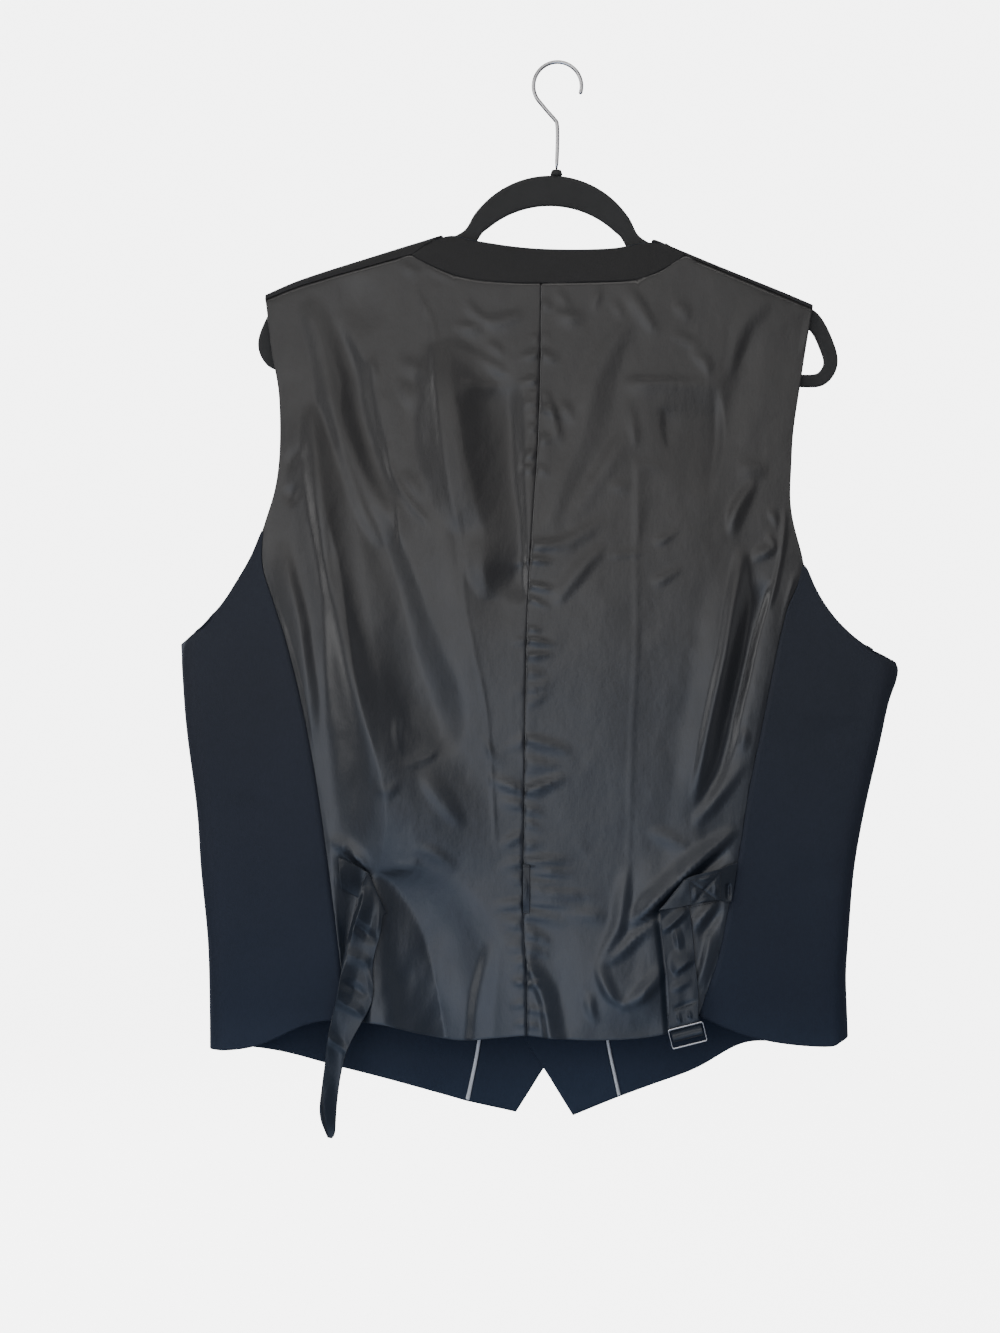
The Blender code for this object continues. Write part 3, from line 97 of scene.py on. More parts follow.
# Folds of the satin back. Each is a crest, or a hollow where its height is below 0, along a line
# of stations that runs down, or from the wearer's left to the right where it is level.
# peak is 0 for a round top and 1 for a sharp one. left and right are the fold's reach on each side
# of its line as seen from behind; on a level line they are below and above.
# (peak, ((x, z, left, right, height), ...)), in mm
BACK_FOLDS = (
    # Long dark hollow and crest of the left half, from the shoulder
    (0.1, ((191, -181, 13.2, 13.2, 0), (184, -203, 13.2, 14.4, 1.9), (176, -229, 14.4, 21.6, 2.8),
        (172, -256, 14.4, 24, 3), (168, -276, 10.8, 21.6, 2.6), (161, -302, 9.6, 21.6, 2.6),
        (151, -333, 9.6, 21.6, 2.5), (141, -357, 9.1, 16.8, 1.5), (132, -371, 7.3, 13.2, 0))),
    (0.1, ((170, -197, 10.3, 8.7, 0), (161, -222, 12.6, 10.3, -1.5), (153, -243, 13.8, 12.6, -1.9),
        (150, -267, 16.1, 13.8, -1.8), (143, -294, 17.2, 13.8, -1.8), (135, -322, 17.2, 16.1, -1.6),
        (126, -343, 12.6, 13.8, 0))),
    # Broad fold below it, with a steep side towards the side seam
    (0.3, ((189, -262, 7, 8, 0), (186, -282, 12, 13, 2.4), (180, -326, 15, 24, 3.8),
        (172, -362, 16, 28, 4.8), (166, -385, 17, 32, 5.6), (159, -434, 20, 42, 7),
        (154, -469, 25, 50, 8.8), (147, -500, 32, 54, 10.4), (138, -530, 39, 56, 11),
        (132, -555, 42, 74, 10.4), (130, -578, 42, 92, 8.8), (133, -600, 38, 90, 5.4),
        (138, -622, 26, 60, 0))),
    (0.2, ((166, -282, 8, 6, 0), (154, -318, 12, 8, -1.6), (139, -351, 16, 12, -2.4),
        (125, -389, 24, 16, -3.4), (115, -427, 28, 20, -4.2), (106, -457, 32, 24, -4.6),
        (95, -488, 36, 26, -4.4), (89, -510, 30, 22, -3), (92, -532, 16, 12, 0))),
    # Edge beside the side seam
    (0.2, ((210, -366, 15, 6.8, 0), (204, -396, 17, 8, 2.1), (197, -427, 17, 9, 2.6),
        (193, -457, 15, 9, 2.6), (189, -488, 12, 9, 1.8), (186, -522, 7.6, 6.1, 0))),
    (0.1, ((194, -292, 7, 7, 0), (201, -303, 8, 7, -0.7), (207, -313, 7, 6, 0))),
    (0.1, ((195, -326, 7, 7, 0), (203, -331, 9, 8, -1), (209, -337, 7, 6, 0))),
    (0.2, ((188, -313, 6.1, 6.1, 0), (182, -351, 7.6, 7.6, 0.9), (176, -389, 7.6, 6.1, 1),
        (170, -419, 6.1, 6.1, 0))),
    # Sharp pressed line from the neck down
    (0.8, ((110, -170, 3, 3.8, 0), (102, -188, 3.8, 6.1, 0.7), (96, -203, 3.8, 6.1, 0.7),
        (94, -241, 4.6, 7.6, 0.6), (91, -267, 4.6, 9, 0.7), (87, -302, 4.6, 9, 0.7),
        (81, -336, 4.6, 7.6, 0.6), (74, -366, 3.8, 4.6, 0.5), (71, -412, 3, 3.8, 0.4),
        (64, -450, 3, 3.8, 0.4), (56, -488, 3, 3.8, 0.5), (52, -526, 3, 3.8, 0.5),
        (48, -586, 3, 3, 0.3), (45, -611, 2.3, 2.3, 0))),
    # Deep hollow between that line and the middle seam
    (0.2, ((86, -214, 20, 16, 0), (82, -242, 30, 34, 5), (76, -272, 36, 40, 7.4),
        (70, -303, 38, 40, 8), (63, -334, 34, 36, 7), (56, -358, 26, 32, 4.6),
        (57, -385, 18, 34, 4.4), (53, -412, 8, 18, 0))),
    (0.2, ((40, -232, 22, 8, 0), (38, -254, 38, 13, -2.4), (37, -286, 42, 14, -3.2),
        (36, -318, 38, 13, -3.2), (31, -346, 30, 9, -2.6), (29, -370, 26, 7, -2.2),
        (27, -396, 28, 5, -2.6), (25, -414, 12, 4, 0))),
    # Level creases above the hollow
    (0.6, ((82, -248, 10.1, 6.8, 0), (67, -248, 12.3, 6.8, 0.9), (44, -248, 12.3, 6.8, 0.9),
        (27, -248, 6.8, 5.2, 0))),
    (0.4, ((90, -214, 8.5, 6.8, 0), (73, -219, 12.3, 6.8, 1), (55, -229, 12.3, 6.8, 1),
        (38, -240, 8.5, 5.9, 0.7), (26, -248, 5.2, 4.3, 0))),
    (0.4, ((70, -182, 5.2, 5.2, 0), (64, -191, 6.8, 5.9, 0.9), (54, -197, 6.8, 5.2, 0.9),
        (40, -194, 5.9, 4.3, 0.6), (27, -190, 4.3, 3.4, 0))),
    (0.4, ((81, -201, 6.8, 5.2, 0), (68, -203, 9, 5.9, 1.1), (56, -202, 7.6, 5.2, 0))),
    (0.4, ((56, -201, 6.8, 5.2, 0), (46, -200, 9, 5.9, 1.1), (33, -195, 8.5, 5.2, 0.8),
        (24, -191, 5.2, 3.4, 0))),
    (0.4, ((55, -213, 5.2, 4.3, 0), (47, -219, 5.9, 5.2, 0.9), (40, -226, 4.3, 4.3, 0))),
    # Small bright crease and dent
    (0.5, ((131, -289, 4.3, 4.3, 0), (128, -309, 5.2, 4.3, 0.8), (122, -324, 5.2, 5.9, 0.9),
        (112, -338, 5.9, 6.8, 0.9), (103, -349, 5.2, 5.2, 0.7), (97, -357, 4.3, 4.3, 0))),
    (0.6, ((124, -334, 2.3, 7.6, 0), (122, -347, 3, 11, 0.8), (121, -360, 3, 11, 0.8),
        (119, -372, 2.3, 6.1, 0))),
    (0.2, ((144, -226, 5.2, 5.2, 0), (141, -235, 5.2, 5.9, 0.8), (139, -246, 5.2, 5.2, 0))),
    (0.1, ((173, -165, 22.4, 16.8, 0), (156, -184, 29.1, 25.8, -1.3), (141, -207, 22.4, 19, 0))),
    (0.3, ((123, -228, 8.5, 7.6, 0), (109, -234, 12.3, 8.5, 1.1), (96, -240, 10.1, 6.8, 0))),
    (0.2, ((122, -241, 6.8, 8.5, 0), (114, -256, 8.5, 13.4, 1.1), (106, -269, 6.8, 8.5, 0))),
    (0.3, ((120, -152, 4.3, 4.3, 0), (114, -158, 6.8, 5.2, 0.9), (102, -161, 5.2, 5.2, 0))),
    (0.3, ((102, -155, 5.2, 4.3, 0), (90, -161, 5.9, 5.2, 0.8), (74, -169, 4.3, 3.4, 0))),
    # Hollow right of the neck
    (0.1, ((-56, -193, 10.6, 8.5, 0), (-46, -210, 12.6, 12.6, 1), (-36, -229, 15.4, 15.4, 1.6),
        (-29, -248, 18.2, 19.6, 1.9), (-23, -271, 15.4, 21, 1.9), (-15, -298, 15.4, 21, 1.8),
        (-4, -324, 14, 21, 1.5), (5, -347, 10.6, 16.8, 0.9), (11, -366, 8.5, 10.6, 0))),
    (0.1, ((-53, -283, 7.3, 7.3, 0), (-42, -299, 9.1, 13.2, 0.8), (-29, -319, 9.1, 13.2, 1),
        (-17, -339, 9.1, 10.8, 0.7), (-6, -360, 7.3, 7.3, 0))),
    (0.3, ((-52, -172, 6.8, 5.9, 0), (-58, -181, 8.5, 8.5, 1.1), (-68, -197, 7.6, 8.5, 1.1),
        (-77, -208, 5.9, 5.9, 0))),
    (0.3, ((-41, -182, 4.3, 5.2, 0), (-46, -190, 4.3, 5.2, 0.9), (-50, -197, 3.4, 4.3, 0))),
    (0.3, ((-32, -170, 3.4, 4.3, 0), (-30, -180, 4.3, 5.2, 0.9), (-26, -191, 3.4, 4.3, 0))),
    (0.3, ((2, -190, 5.9, 5.2, 0), (-9, -194, 12.3, 5.9, 1.5), (-23, -195, 7.6, 4.3, 0))),
    (0.3, ((0, -173, 4.3, 5.2, 0), (-4, -182, 5.2, 6.8, 0.9), (-12, -193, 4.3, 5.2, 0))),
    (0.3, ((-1, -260, 5.2, 4.3, 0), (-7, -267, 5.9, 7.6, 1.2), (-12, -278, 4.3, 5.2, 0))),
    (0.3, ((10, -248, 6.8, 4.3, 0), (5, -267, 8.5, 5.2, 1.1), (0, -284, 6.8, 5.2, 0.9),
        (-6, -295, 5.2, 4.3, 0))),
    (0.3, ((-87, -184, 5.9, 5.9, 0), (-96, -190, 7.6, 7.6, 0.9), (-103, -197, 5.2, 5.2, 0))),
    (0.3, ((-85, -207, 5.2, 5.2, 0), (-99, -213, 7.6, 5.9, 0.9), (-111, -220, 5.9, 5.2, 0))),
    (0.3, ((-99, -222, 5.2, 5.2, 0), (-111, -229, 5.9, 8.5, 1.2), (-117, -242, 4.3, 6.8, 0))),
    (0.4, ((-53, -258, 4.3, 6.8, 0), (-55, -271, 5.2, 7.6, 0.9), (-58, -286, 4.3, 6.8, 0.8),
        (-59, -298, 3.4, 4.3, 0))),
    (0.4, ((-80, -264, 3.4, 12.3, 0), (-82, -275, 4.3, 13.4, -0.8), (-83, -287, 3.4, 12.3, -0.6),
        (-85, -298, 2.6, 5.2, 0))),
    # Level crease right of it
    (0.6, ((-46, -243, 10.1, 5.2, 0), (-62, -245, 13.4, 5.9, 1.1), (-85, -245, 13.4, 5.9, 1.1),
        (-104, -245, 10.1, 5.2, 0.6), (-112, -243, 6.8, 3.4, 0))),
    # Sharp line down the middle of the right half
    (0.7, ((-60, -304, 3.8, 6.1, 0), (-60, -313, 4.6, 11, 0.7), (-60, -336, 4.6, 12, 0.8),
        (-60, -358, 3.8, 7.6, 0.6), (-59, -381, 3, 4.6, 0.3), (-59, -450, 3, 4.6, 0.3),
        (-56, -503, 3, 4.6, 0.3), (-54, -579, 3, 4.6, 0.2), (-53, -614, 3, 4.6, 0.2),
        (-52, -624, 2.3, 3, 0))),
    (0.6, ((-59, -308, 8.5, 3.4, 0), (-70, -308, 10.1, 4.3, 0.6), (-83, -308, 6.8, 3.4, 0))),
    (0.5, ((-36, -325, 6.8, 4.3, 0), (-47, -324, 8.5, 4.3, 0.8), (-59, -327, 6.8, 3.4, 0))),
    # Lumps beside the middle seam, low right
    (0.2, ((-36, -370, 7.6, 6.1, 0), (-24, -381, 10, 8, 1), (-14, -393, 11, 9, 1.3),
        (-4, -406, 10, 7.6, 1), (3, -416, 6.1, 6.1, 0))),
    (0.3, ((-35, -349, 6.1, 6.8, 0), (-20, -360, 7.6, 9, 1), (-3, -368, 7.6, 11, 1.1),
        (15, -371, 4.6, 6.1, 0))),
    (0.3, ((-71, -368, 4.6, 3.8, 0), (-80, -365, 6.1, 4.6, 0.8), (-93, -358, 3.8, 3.8, 0))),
    (0.4, ((-35, -378, 4.6, 3.8, 0), (-49, -376, 6.1, 3.8, 0.7), (-68, -375, 4.6, 3, 0))),
    (0.2, ((-70, -400, 6.1, 5.3, 0), (-80, -395, 6.8, 6.1, 0.8), (-94, -386, 5.3, 4.6, 0))),
    # Creases from the right armhole
    (0.2, ((-152, -320, 5.3, 4.6, 0), (-141, -333, 6.8, 9, 1.6), (-134, -347, 6.8, 10, 1.8),
        (-131, -363, 4.6, 6.1, 0))),
    (0.2, ((-135, -311, 12.3, 6.8, 0), (-147, -310, 13.4, 7.6, 0.9), (-161, -313, 8.5, 5.9, 0))),
    (0.6, ((-173, -339, 3, 3, 0), (-172, -358, 3.8, 3.8, 0.9), (-169, -381, 3.8, 3.8, 1),
        (-164, -404, 3.8, 3.8, 1), (-159, -421, 3, 3, 0))),
    (0.3, ((-147, -381, 4.6, 6.1, 0), (-158, -375, 6.1, 8, 1.6), (-170, -369, 3.8, 4.6, 0))),
    (0.3, ((-159, -343, 4.6, 4.6, 0), (-164, -348, 4.6, 5.3, 0.9), (-168, -355, 3.8, 3.8, 0))),
    (0.3, ((-158, -363, 3.8, 3.8, 0), (-162, -366, 4.6, 4.6, 0.8), (-167, -371, 3, 3, 0))),
    # Shoulder hollow, right
    (0.1, ((-162, -173, 10.8, 10.8, 0), (-152, -188, 13.2, 13.2, 0.8),
        (-141, -204, 10.8, 10.8, 0.9), (-135, -222, 7.3, 8.2, 0.7), (-131, -242, 5.5, 5.5, 0))),
    (0.4, ((-194, -193, 4.3, 3.4, 0), (-190, -210, 5.2, 4.3, 0.7), (-186, -226, 4.3, 3.4, 0))),
    # Deep fold beside the right side seam
    (0.1, ((-140, -372, 7.6, 6.1, 0), (-137, -396, 9, 11, 2.6), (-133, -419, 9, 15, 3.8),
        (-128, -450, 9, 16, 4.1), (-121, -480, 8, 16, 3.8), (-115, -507, 7.6, 15, 3.3),
        (-109, -537, 6.8, 12, 2.1), (-103, -563, 6.1, 6.1, 0))),
    (0.1, ((-159, -396, 11, 4.6, 0), (-155, -415, 13, 5.3, -2.8), (-147, -442, 14, 6.1, -3.2),
        (-141, -469, 14, 6.1, -3.2), (-134, -499, 13, 6.1, -2.9), (-128, -526, 11, 6.8, -2.3),
        (-117, -552, 9, 7.6, -1.3), (-106, -573, 6.1, 6.1, 0))),
    (0.5, ((-180, -389, 3, 3, 0), (-175, -412, 3, 3, 0.8), (-169, -438, 3, 3, 0.8),
        (-164, -465, 3, 3, 0.6), (-159, -488, 2.3, 2.3, 0))),
    (0.3, ((-143, -509, 4.6, 4.6, 0), (-141, -516, 5.3, 6.8, 1.1), (-139, -527, 3.8, 4.6, 0))),
    (0.2, ((-142, -533, 7.6, 6.1, 0), (-129, -552, 10, 7.6, 1.6), (-114, -570, 10, 7.6, 1.8),
        (-102, -583, 6.1, 6.1, 0))),
    # Overhang above the right strap
    (0.4, ((-137, -586, 8, 3, 0), (-122, -598, 12, 6, 3.4), (-100, -617, 15, 6.5, 4.6),
        (-81, -635, 15, 6.5, 4.8), (-66, -648, 12, 6, 3.6), (-52, -660, 8, 3, 0))),
    (0.3, ((-130, -601, 3, 6, 0), (-118, -610, 4, 8, -2.5), (-101, -625, 4, 8, -3),
        (-84, -641, 4, 8, -3), (-68, -655, 3.5, 6, -2), (-56, -664, 2.5, 4, 0))),
    # Crumples between keeper and right strap
    (0.2, ((-53, -613, 6.1, 4.6, 0), (-50, -632, 9, 7.6, 1.4), (-46, -658, 9, 9, 2.2),
        (-36, -677, 6.1, 6.8, 1.4), (-29, -688, 3.8, 3.8, 0))),
    (0.3, ((-76, -651, 6.1, 4.6, 0), (-62, -665, 7.6, 6.1, 1.9), (-47, -679, 7.6, 6.1, 1.9),
        (-30, -690, 5.3, 4.6, 0))),
    (0.2, ((-29, -683, 5.3, 7.6, 0), (-33, -699, 6.1, 9, 1.9), (-40, -712, 6.1, 7.6, 2.2),
        (-49, -718, 4.6, 6.1, 0.7), (-55, -723, 3.8, 3.8, 0))),
    (0.2, ((-80, -690, 7.6, 6.1, 0), (-71, -703, 9, 7.6, 2.2), (-61, -713, 9, 7.6, 2.2),
        (-52, -718, 6.1, 6.1, 1.1), (-44, -723, 3.8, 3.8, 0))),
    (0.2, ((-23, -708, 5.3, 6.1, 0), (-24, -720, 6.1, 6.8, 1.4), (-29, -734, 4.6, 5.3, 0))),
    (0.1, ((27, -680, 3, 6.1, 0), (20, -696, 4.6, 12, 2.2), (11, -715, 6.1, 14, 2.7),
        (6, -746, 6.1, 14, 2.7))),
    (0.3, ((-1, -651, 4.6, 4.6, 0), (-24, -650, 9, 4.6, 1.2), (-39, -653, 4.6, 3.8, 0))),
    (0.3, ((-68, -586, 6.8, 6.1, 0), (-83, -592, 9, 7.6, 1.5), (-100, -600, 6.1, 5.3, 0))),
    # Low fan of the left half
    (0.4, ((138, -618, 6, 10, 0), (119, -636, 20, 34, -6), (103, -666, 34, 56, -10.5),
        (93, -704, 42, 64, -12), (87, -738, 46, 64, -12), (84, -754, 46, 64, -11.5))),
    (0.2, ((50, -670, 6.1, 6.1, 0), (56, -693, 7.6, 12, 1.6), (61, -715, 8, 15, 2.3),
        (64, -746, 8, 17, 2.3))),
    (0.4, ((140, -617, 5.3, 3, 0), (120, -614, 6.8, 3, 1.1), (96, -611, 4.6, 2.3, 0))),
    (0.3, ((85, -519, 3.8, 4.6, 0), (97, -529, 4.6, 5.3, 1), (111, -535, 3.8, 4.6, 0.8),
        (122, -538, 3, 3, 0))),
    (0.2, ((105, -541, 7.6, 9, 0), (93, -556, 10, 13, 1.5), (81, -573, 8, 10, 1.1),
        (70, -583, 6.1, 6.1, 0))),
    (0.2, ((140, -550, 6.1, 4.6, 0), (129, -556, 7.6, 5.3, 1), (119, -548, 4.6, 3.8, 0))),
    (0.3, ((111, -598, 6.1, 5.3, 0), (94, -604, 8, 6.1, 1.4), (76, -615, 6.1, 4.6, 0))),
    (0.3, ((119, -497, 4.6, 3.8, 0), (122, -510, 5.3, 4.6, 0.9), (119, -529, 3.8, 3.8, 0))),
    (0.5, ((58, -515, 3, 3, 0), (52, -526, 3.8, 3.8, 0.8), (44, -535, 3, 3, 0))),
    (0.4, ((119, -313, 4.3, 6.8, 0), (111, -324, 5.2, 8.5, 0.9), (102, -336, 4.3, 5.9, 0))),
    (0.3, ((147, -620, 8, 10, 0), (144, -640, 10, 34, 2), (142, -668, 10, 50, 3),
        (141, -700, 10, 54, 3.4), (142, -735, 10, 54, 3.4), (143, -752, 10, 54, 3.2))),
    # Hollow left of the left strap, and the overhang above it
    (0.1, ((165, -598, 10, 4, 0), (158, -609, 18, 5, -2.5), (150, -624, 25, 5, -4.5),
        (156, -651, 16, 6, -4.5), (161, -678, 9, 6, -3.5), (164, -701, 4, 4, 0))),
    (0.4, ((176, -594, 3, 8, 0), (162, -602, 3.5, 12, 2.6), (153, -610, 3.5, 12, 3.2),
        (144, -618, 3, 8, 0))),
    # Gap along the left edge of the right strap
    (0.3, ((-74, -646, 3, 5, 0), (-77, -660, 5, 6, -1.2), (-80, -684, 5, 6, -1.2),
        (-82, -712, 5, 6, -1.2), (-84, -742, 5, 6, -1))),
    # Flap and creases right of it
    (0.3, ((-122, -639, 7, 4, 0), (-116, -646, 8, 4.5, 2.2), (-108, -655, 8, 4.5, 2.2),
        (-101, -663, 6, 4, 0))),
    (0.2, ((-126, -645, 4, 5, 0), (-119, -653, 4, 6, -1.6), (-112, -662, 4, 6, -1.4),
        (-106, -668, 3, 4, 0))),
    (0.3, ((-117, -662, 5, 8, 0), (-114, -676, 5, 9, 1.8), (-110, -692, 5, 8, 1.6),
        (-106, -706, 4, 5, 0))),
    (0.3, ((-126, -676, 4, 4, 0), (-122, -690, 5, 4, -1.4), (-116, -706, 5, 4, -1.2),
        (-112, -718, 4, 3, 0))),
    # Broad hollow under the right shoulder blade
    (0, ((-117, -248, 38, 7, 0), (-119, -270, 55, 9, -2.2), (-118, -300, 52, 9, -2),
        (-112, -332, 38, 7, 0))),
)

# Puckers that start at the middle seam.
# side (1 wearer's left), z, rise of the far end, length, above, below, height, in mm
SEAM_PUCKERS = (
    (1, -211, -1.5, 9, 3.8, 3.8, 0.9), (1, -223, -3, 17, 4.6, 6.8, 1.4), (1, -235, -0.8, 9, 3, 3.8, 0.8),
    (1, -242, -4.6, 18, 4.6, 7.6, 1.5), (1, -254, -1.5, 12, 3, 3.8, 0.9),
    (1, -260, -2.3, 15, 3.8, 6.1, 1.3), (1, -270, 1.5, 9, 3.8, 3.8, 1), (1, -279, -2.3, 9, 3, 4.6, 1.1),
    (1, -298, -6.1, 12, 4.6, 6.8, 1.4), (1, -313, 3, 17, 6.1, 4.6, 1.2),
    (1, -381, -3.8, 13.8, 5.3, 5.3, 0.9), (1, -442, -1.5, 12.6, 4.4, 3.4, 0.7),
    (1, -480, -2.3, 12.6, 5.3, 4.4, 0.7), (1, -519, -6.1, 17.2, 5.3, 5.3, 0.9),
    (1, -556, 10.6, 29.9, 6.1, 7, 2.4), (1, -567, 2.3, 19.5, 5.3, 6.1, 1.9),
    (1, -590, -9.1, 19.5, 5.3, 6.1, 1.9), (1, -611, -4, 20, 4, 4.4, 2.0),
    (1, -624, 2.3, 13.8, 4.4, 4.4, 1.2), (1, -642, -3, 25, 4, 4.4, 2.0),
    (1, -658, 3, 19.5, 5.3, 5.3, 1.9), (1, -674, -1.5, 16.1, 5.3, 5.3, 1.6),
    (1, -686, -2.3, 10.3, 4.4, 4.4, 1.6), (1, -702, 1.5, 12.6, 5.3, 5.3, 1.6),
    (1, -717, -3, 13.8, 5.3, 5.3, 1.1), (1, -732, -2.3, 10.3, 4.4, 4.4, 0.9),
    (-1, -184, -6.1, 11, 4.6, 5.3, 1), (-1, -209, -1.5, 8, 3.8, 3.8, 0.9),
    (-1, -223, -7.6, 18, 5.3, 6.8, 1.3), (-1, -254, -3, 9, 3.8, 4.6, 1),
    (-1, -263, -10.6, 23, 5.3, 6.8, 1.6), (-1, -290, 3, 15, 6.1, 6.1, 1.3),
    (-1, -310, -7.6, 14, 4.6, 5.3, 1), (-1, -370, 1.5, 26.4, 6.1, 7.8, 1.9),
    (-1, -381, -1.5, 19.5, 5.3, 6.1, 1.5), (-1, -400, -4.6, 23, 6.1, 7, 1.6),
    (-1, -410, -7.6, 17.2, 5.3, 5.3, 1.2), (-1, -433, -1.5, 12.6, 4.4, 4.4, 0.9),
    (-1, -442, -3, 23, 5.3, 7, 1.5), (-1, -454, 1.5, 20.7, 5.3, 7, 1.4),
    (-1, -466, -2.3, 16.1, 4.4, 7, 1.6), (-1, -480, 7.6, 24.1, 5.3, 6.1, 1.4),
    (-1, -491, 12.1, 23, 4.4, 5.3, 1.1), (-1, -516, -10.6, 37.9, 5.3, 10.5, 2.3),
    (-1, -533, -1.5, 17.2, 4.4, 5.3, 1.2), (-1, -539, 3, 31, 5.3, 5.3, 1.6),
    (-1, -557, 12.1, 33.3, 6.1, 8.7, 3.0), (-1, -570, -2.3, 16.1, 4.4, 6.1, 2.0),
    (-1, -580, -6.1, 16.1, 4.4, 4.4, 1.2), (-1, -598, 2.3, 17.2, 4.4, 4.4, 1.5),
    (-1, -611, 3, 37.9, 5.3, 6.1, 2.6), (-1, -619, 2.3, 50, 3.2, 3.6, 2.2),
    (-1, -627, -2.3, 30, 3.4, 3.4, 1.8), (-1, -633.5, -3.5, 62, 3.2, 3.2, 2.4),
    (-1, -641, -2, 46, 3.2, 3.4, 2.3), (-1, -650, -6.1, 34.5, 4.4, 5.3, 2.3),
    (-1, -662, -10.6, 23, 5.3, 7, 2.2), (-1, -676, -3.8, 19.5, 5.3, 5.3, 1.6),
    (-1, -691, -4.6, 12.6, 4.4, 4.4, 1.5), (-1, -704, 2.3, 12.6, 4.4, 4.4, 1.5),
    (-1, -721, -4.6, 19.5, 5.3, 5.3, 1.2), (-1, -734, -2.3, 12.6, 4.4, 4.4, 0.9),
)

# Soft folds of the wool panels at the back
PANEL_FOLDS = (
    (0.1, ((-222, -466, 10, 12, 0), (-229, -490, 12, 16, -0.8), (-236, -525, 10, 14, 0))),
    (0.1, ((-180, -508, 14, 12, 0), (-205, -512, 18, 14, -0.7), (-240, -506, 12, 10, 0))),
    (0.1, ((-168, -620, 14, 16, 0), (-200, -624, 18, 20, -0.7), (-235, -616, 14, 12, 0))),
    (0.1, ((-150, -728, 10, 12, 0), (-190, -730, 14, 16, 0.6), (-236, -722, 10, 12, 0))),
    (0.1, ((283, -440, 14, 14, 0), (256, -452, 18, 18, 0.6), (228, -476, 12, 12, 0))),
    (0.1, ((262, -560, 18, 18, 0), (240, -575, 20, 20, -0.7), (206, -572, 14, 14, 0))),
    (0.1, ((262, -655, 14, 18, 0), (235, -662, 18, 20, 0.6), (200, -648, 12, 12, 0))),
    (0.1, ((252, -690, 16, 16, 0), (246, -715, 16, 18, -0.6), (250, -742, 12, 12, 0))),
)

# Folds of the wool fronts: drag lines from the armholes and a soft break at the waist
FRONT_FOLDS = (
    (0.1, ((232, -395, 10, 12, 0), (190, -420, 16, 18, 1.6), (140, -452, 14, 16, 1.1),
        (92, -470, 10, 10, 0))),
    (0.1, ((238, -430, 10, 10, 0), (200, -462, 14, 14, -1.2), (150, -492, 12, 12, 0))),
    (0.1, ((-215, -398, 12, 10, 0), (-172, -424, 18, 16, 1.5), (-118, -452, 16, 14, 1.0),
        (-66, -466, 10, 10, 0))),
    (0.1, ((-220, -440, 10, 10, 0), (-180, -466, 14, 14, -1.1), (-128, -492, 12, 12, 0))),
    (0.1, ((262, -560, 14, 12, 0), (210, -572, 20, 18, 1.4), (150, -566, 18, 16, 1.0),
        (88, -580, 12, 10, 0))),
    (0.1, ((-232, -566, 12, 14, 0), (-180, -578, 18, 20, 1.4), (-120, -570, 16, 18, 1.0),
        (-56, -584, 10, 12, 0))),
    (0.1, ((150, -230, 10, 10, 0), (138, -280, 16, 16, 1.2), (120, -340, 18, 16, 1.3),
        (98, -400, 12, 10, 0))),
    (0.1, ((-128, -228, 10, 10, 0), (-116, -280, 16, 16, 1.2), (-98, -340, 16, 18, 1.3),
        (-74, -400, 10, 12, 0))),
    (0.1, ((120, -640, 14, 14, 0), (126, -690, 20, 18, 1.3), (134, -745, 14, 14, 0))),
    (0.1, ((-96, -636, 14, 14, 0), (-104, -688, 18, 20, 1.3), (-110, -748, 14, 14, 0))),
    (0.1, ((214, -630, 12, 14, 0), (222, -680, 16, 18, -1.2), (228, -732, 12, 12, 0))),
    (0.1, ((-186, -626, 14, 12, 0), (-194, -680, 18, 16, -1.2), (-198, -734, 12, 12, 0))),
)

# Creases of the straps and the keeper loop, and their stitches: piece, pitch, length and route
STRAP_LEFT_FOLDS = (
    # Part between the seam and the turn, which falls away from the seam
    (0.4, ((171, -598, 3, 24, 0), (170, -610, 3, 27, 9), (167, -624, 3, 25, 10),
        (162, -642, 3, 18, 0))),
    # Left edge, raised so that the strap turns away
    (0.5, ((146, -628, 3, 10, 0), (149, -642, 3, 13, 5), (154, -657, 3, 13, 5),
        (157, -670, 3, 12, 2), (161, -686, 3, 12, 2), (166, -699, 3, 14, 5),
        (168.5, -709, 3, 14, 5), (170, -719, 3, 12, 1.5), (172, -730, 3, 12, 2),
        (174.5, -742, 3, 14, 4.2), (177, -757, 3, 14, 5.5), (177.5, -778, 3, 13, 5.5),
        (176, -800, 3, 12, 5), (173, -820, 3, 9, 1))),
    # Facets
    (0.4, ((136, -630, 5, 5, 0), (135, -642, 6, 5, 1.3), (136, -656, 6, 5, 1.3),
        (139, -670, 4, 4, 0))),
    (0.5, ((159, -654, 5, 5, 0), (151, -659, 6, 6, -1.8), (143, -666, 6, 6, -1.8),
        (138, -672, 5, 5, 0))),
    (0.5, ((164, -676, 8, 6, 0), (156, -680, 9, 7, 1.6), (148, -684, 8, 7, 1.6),
        (142, -689, 6, 6, 0))),
    (0.5, ((166, -698, 6, 6, 0), (158, -703, 7, 7, -1.6), (150, -708, 6, 7, -1.6),
        (144, -712, 4, 5, 0))),
    (0.5, ((170, -712, 6, 6, 0), (162, -716, 7, 7, 1.8), (154, -721, 6, 7, 1.8),
        (147, -726, 4, 5, 0))),
    (0.4, ((145, -688, 4, 4, 0), (140, -702, 5, 4, 1.4), (137, -716, 5, 4, 1.4),
        (136, -728, 4, 4, 0))),
    (0.5, ((177, -738, 5, 5, 0), (170, -744, 6, 6, 1.6), (163, -750, 5, 5, 1.2),
        (158, -755, 4, 4, 0))),
)
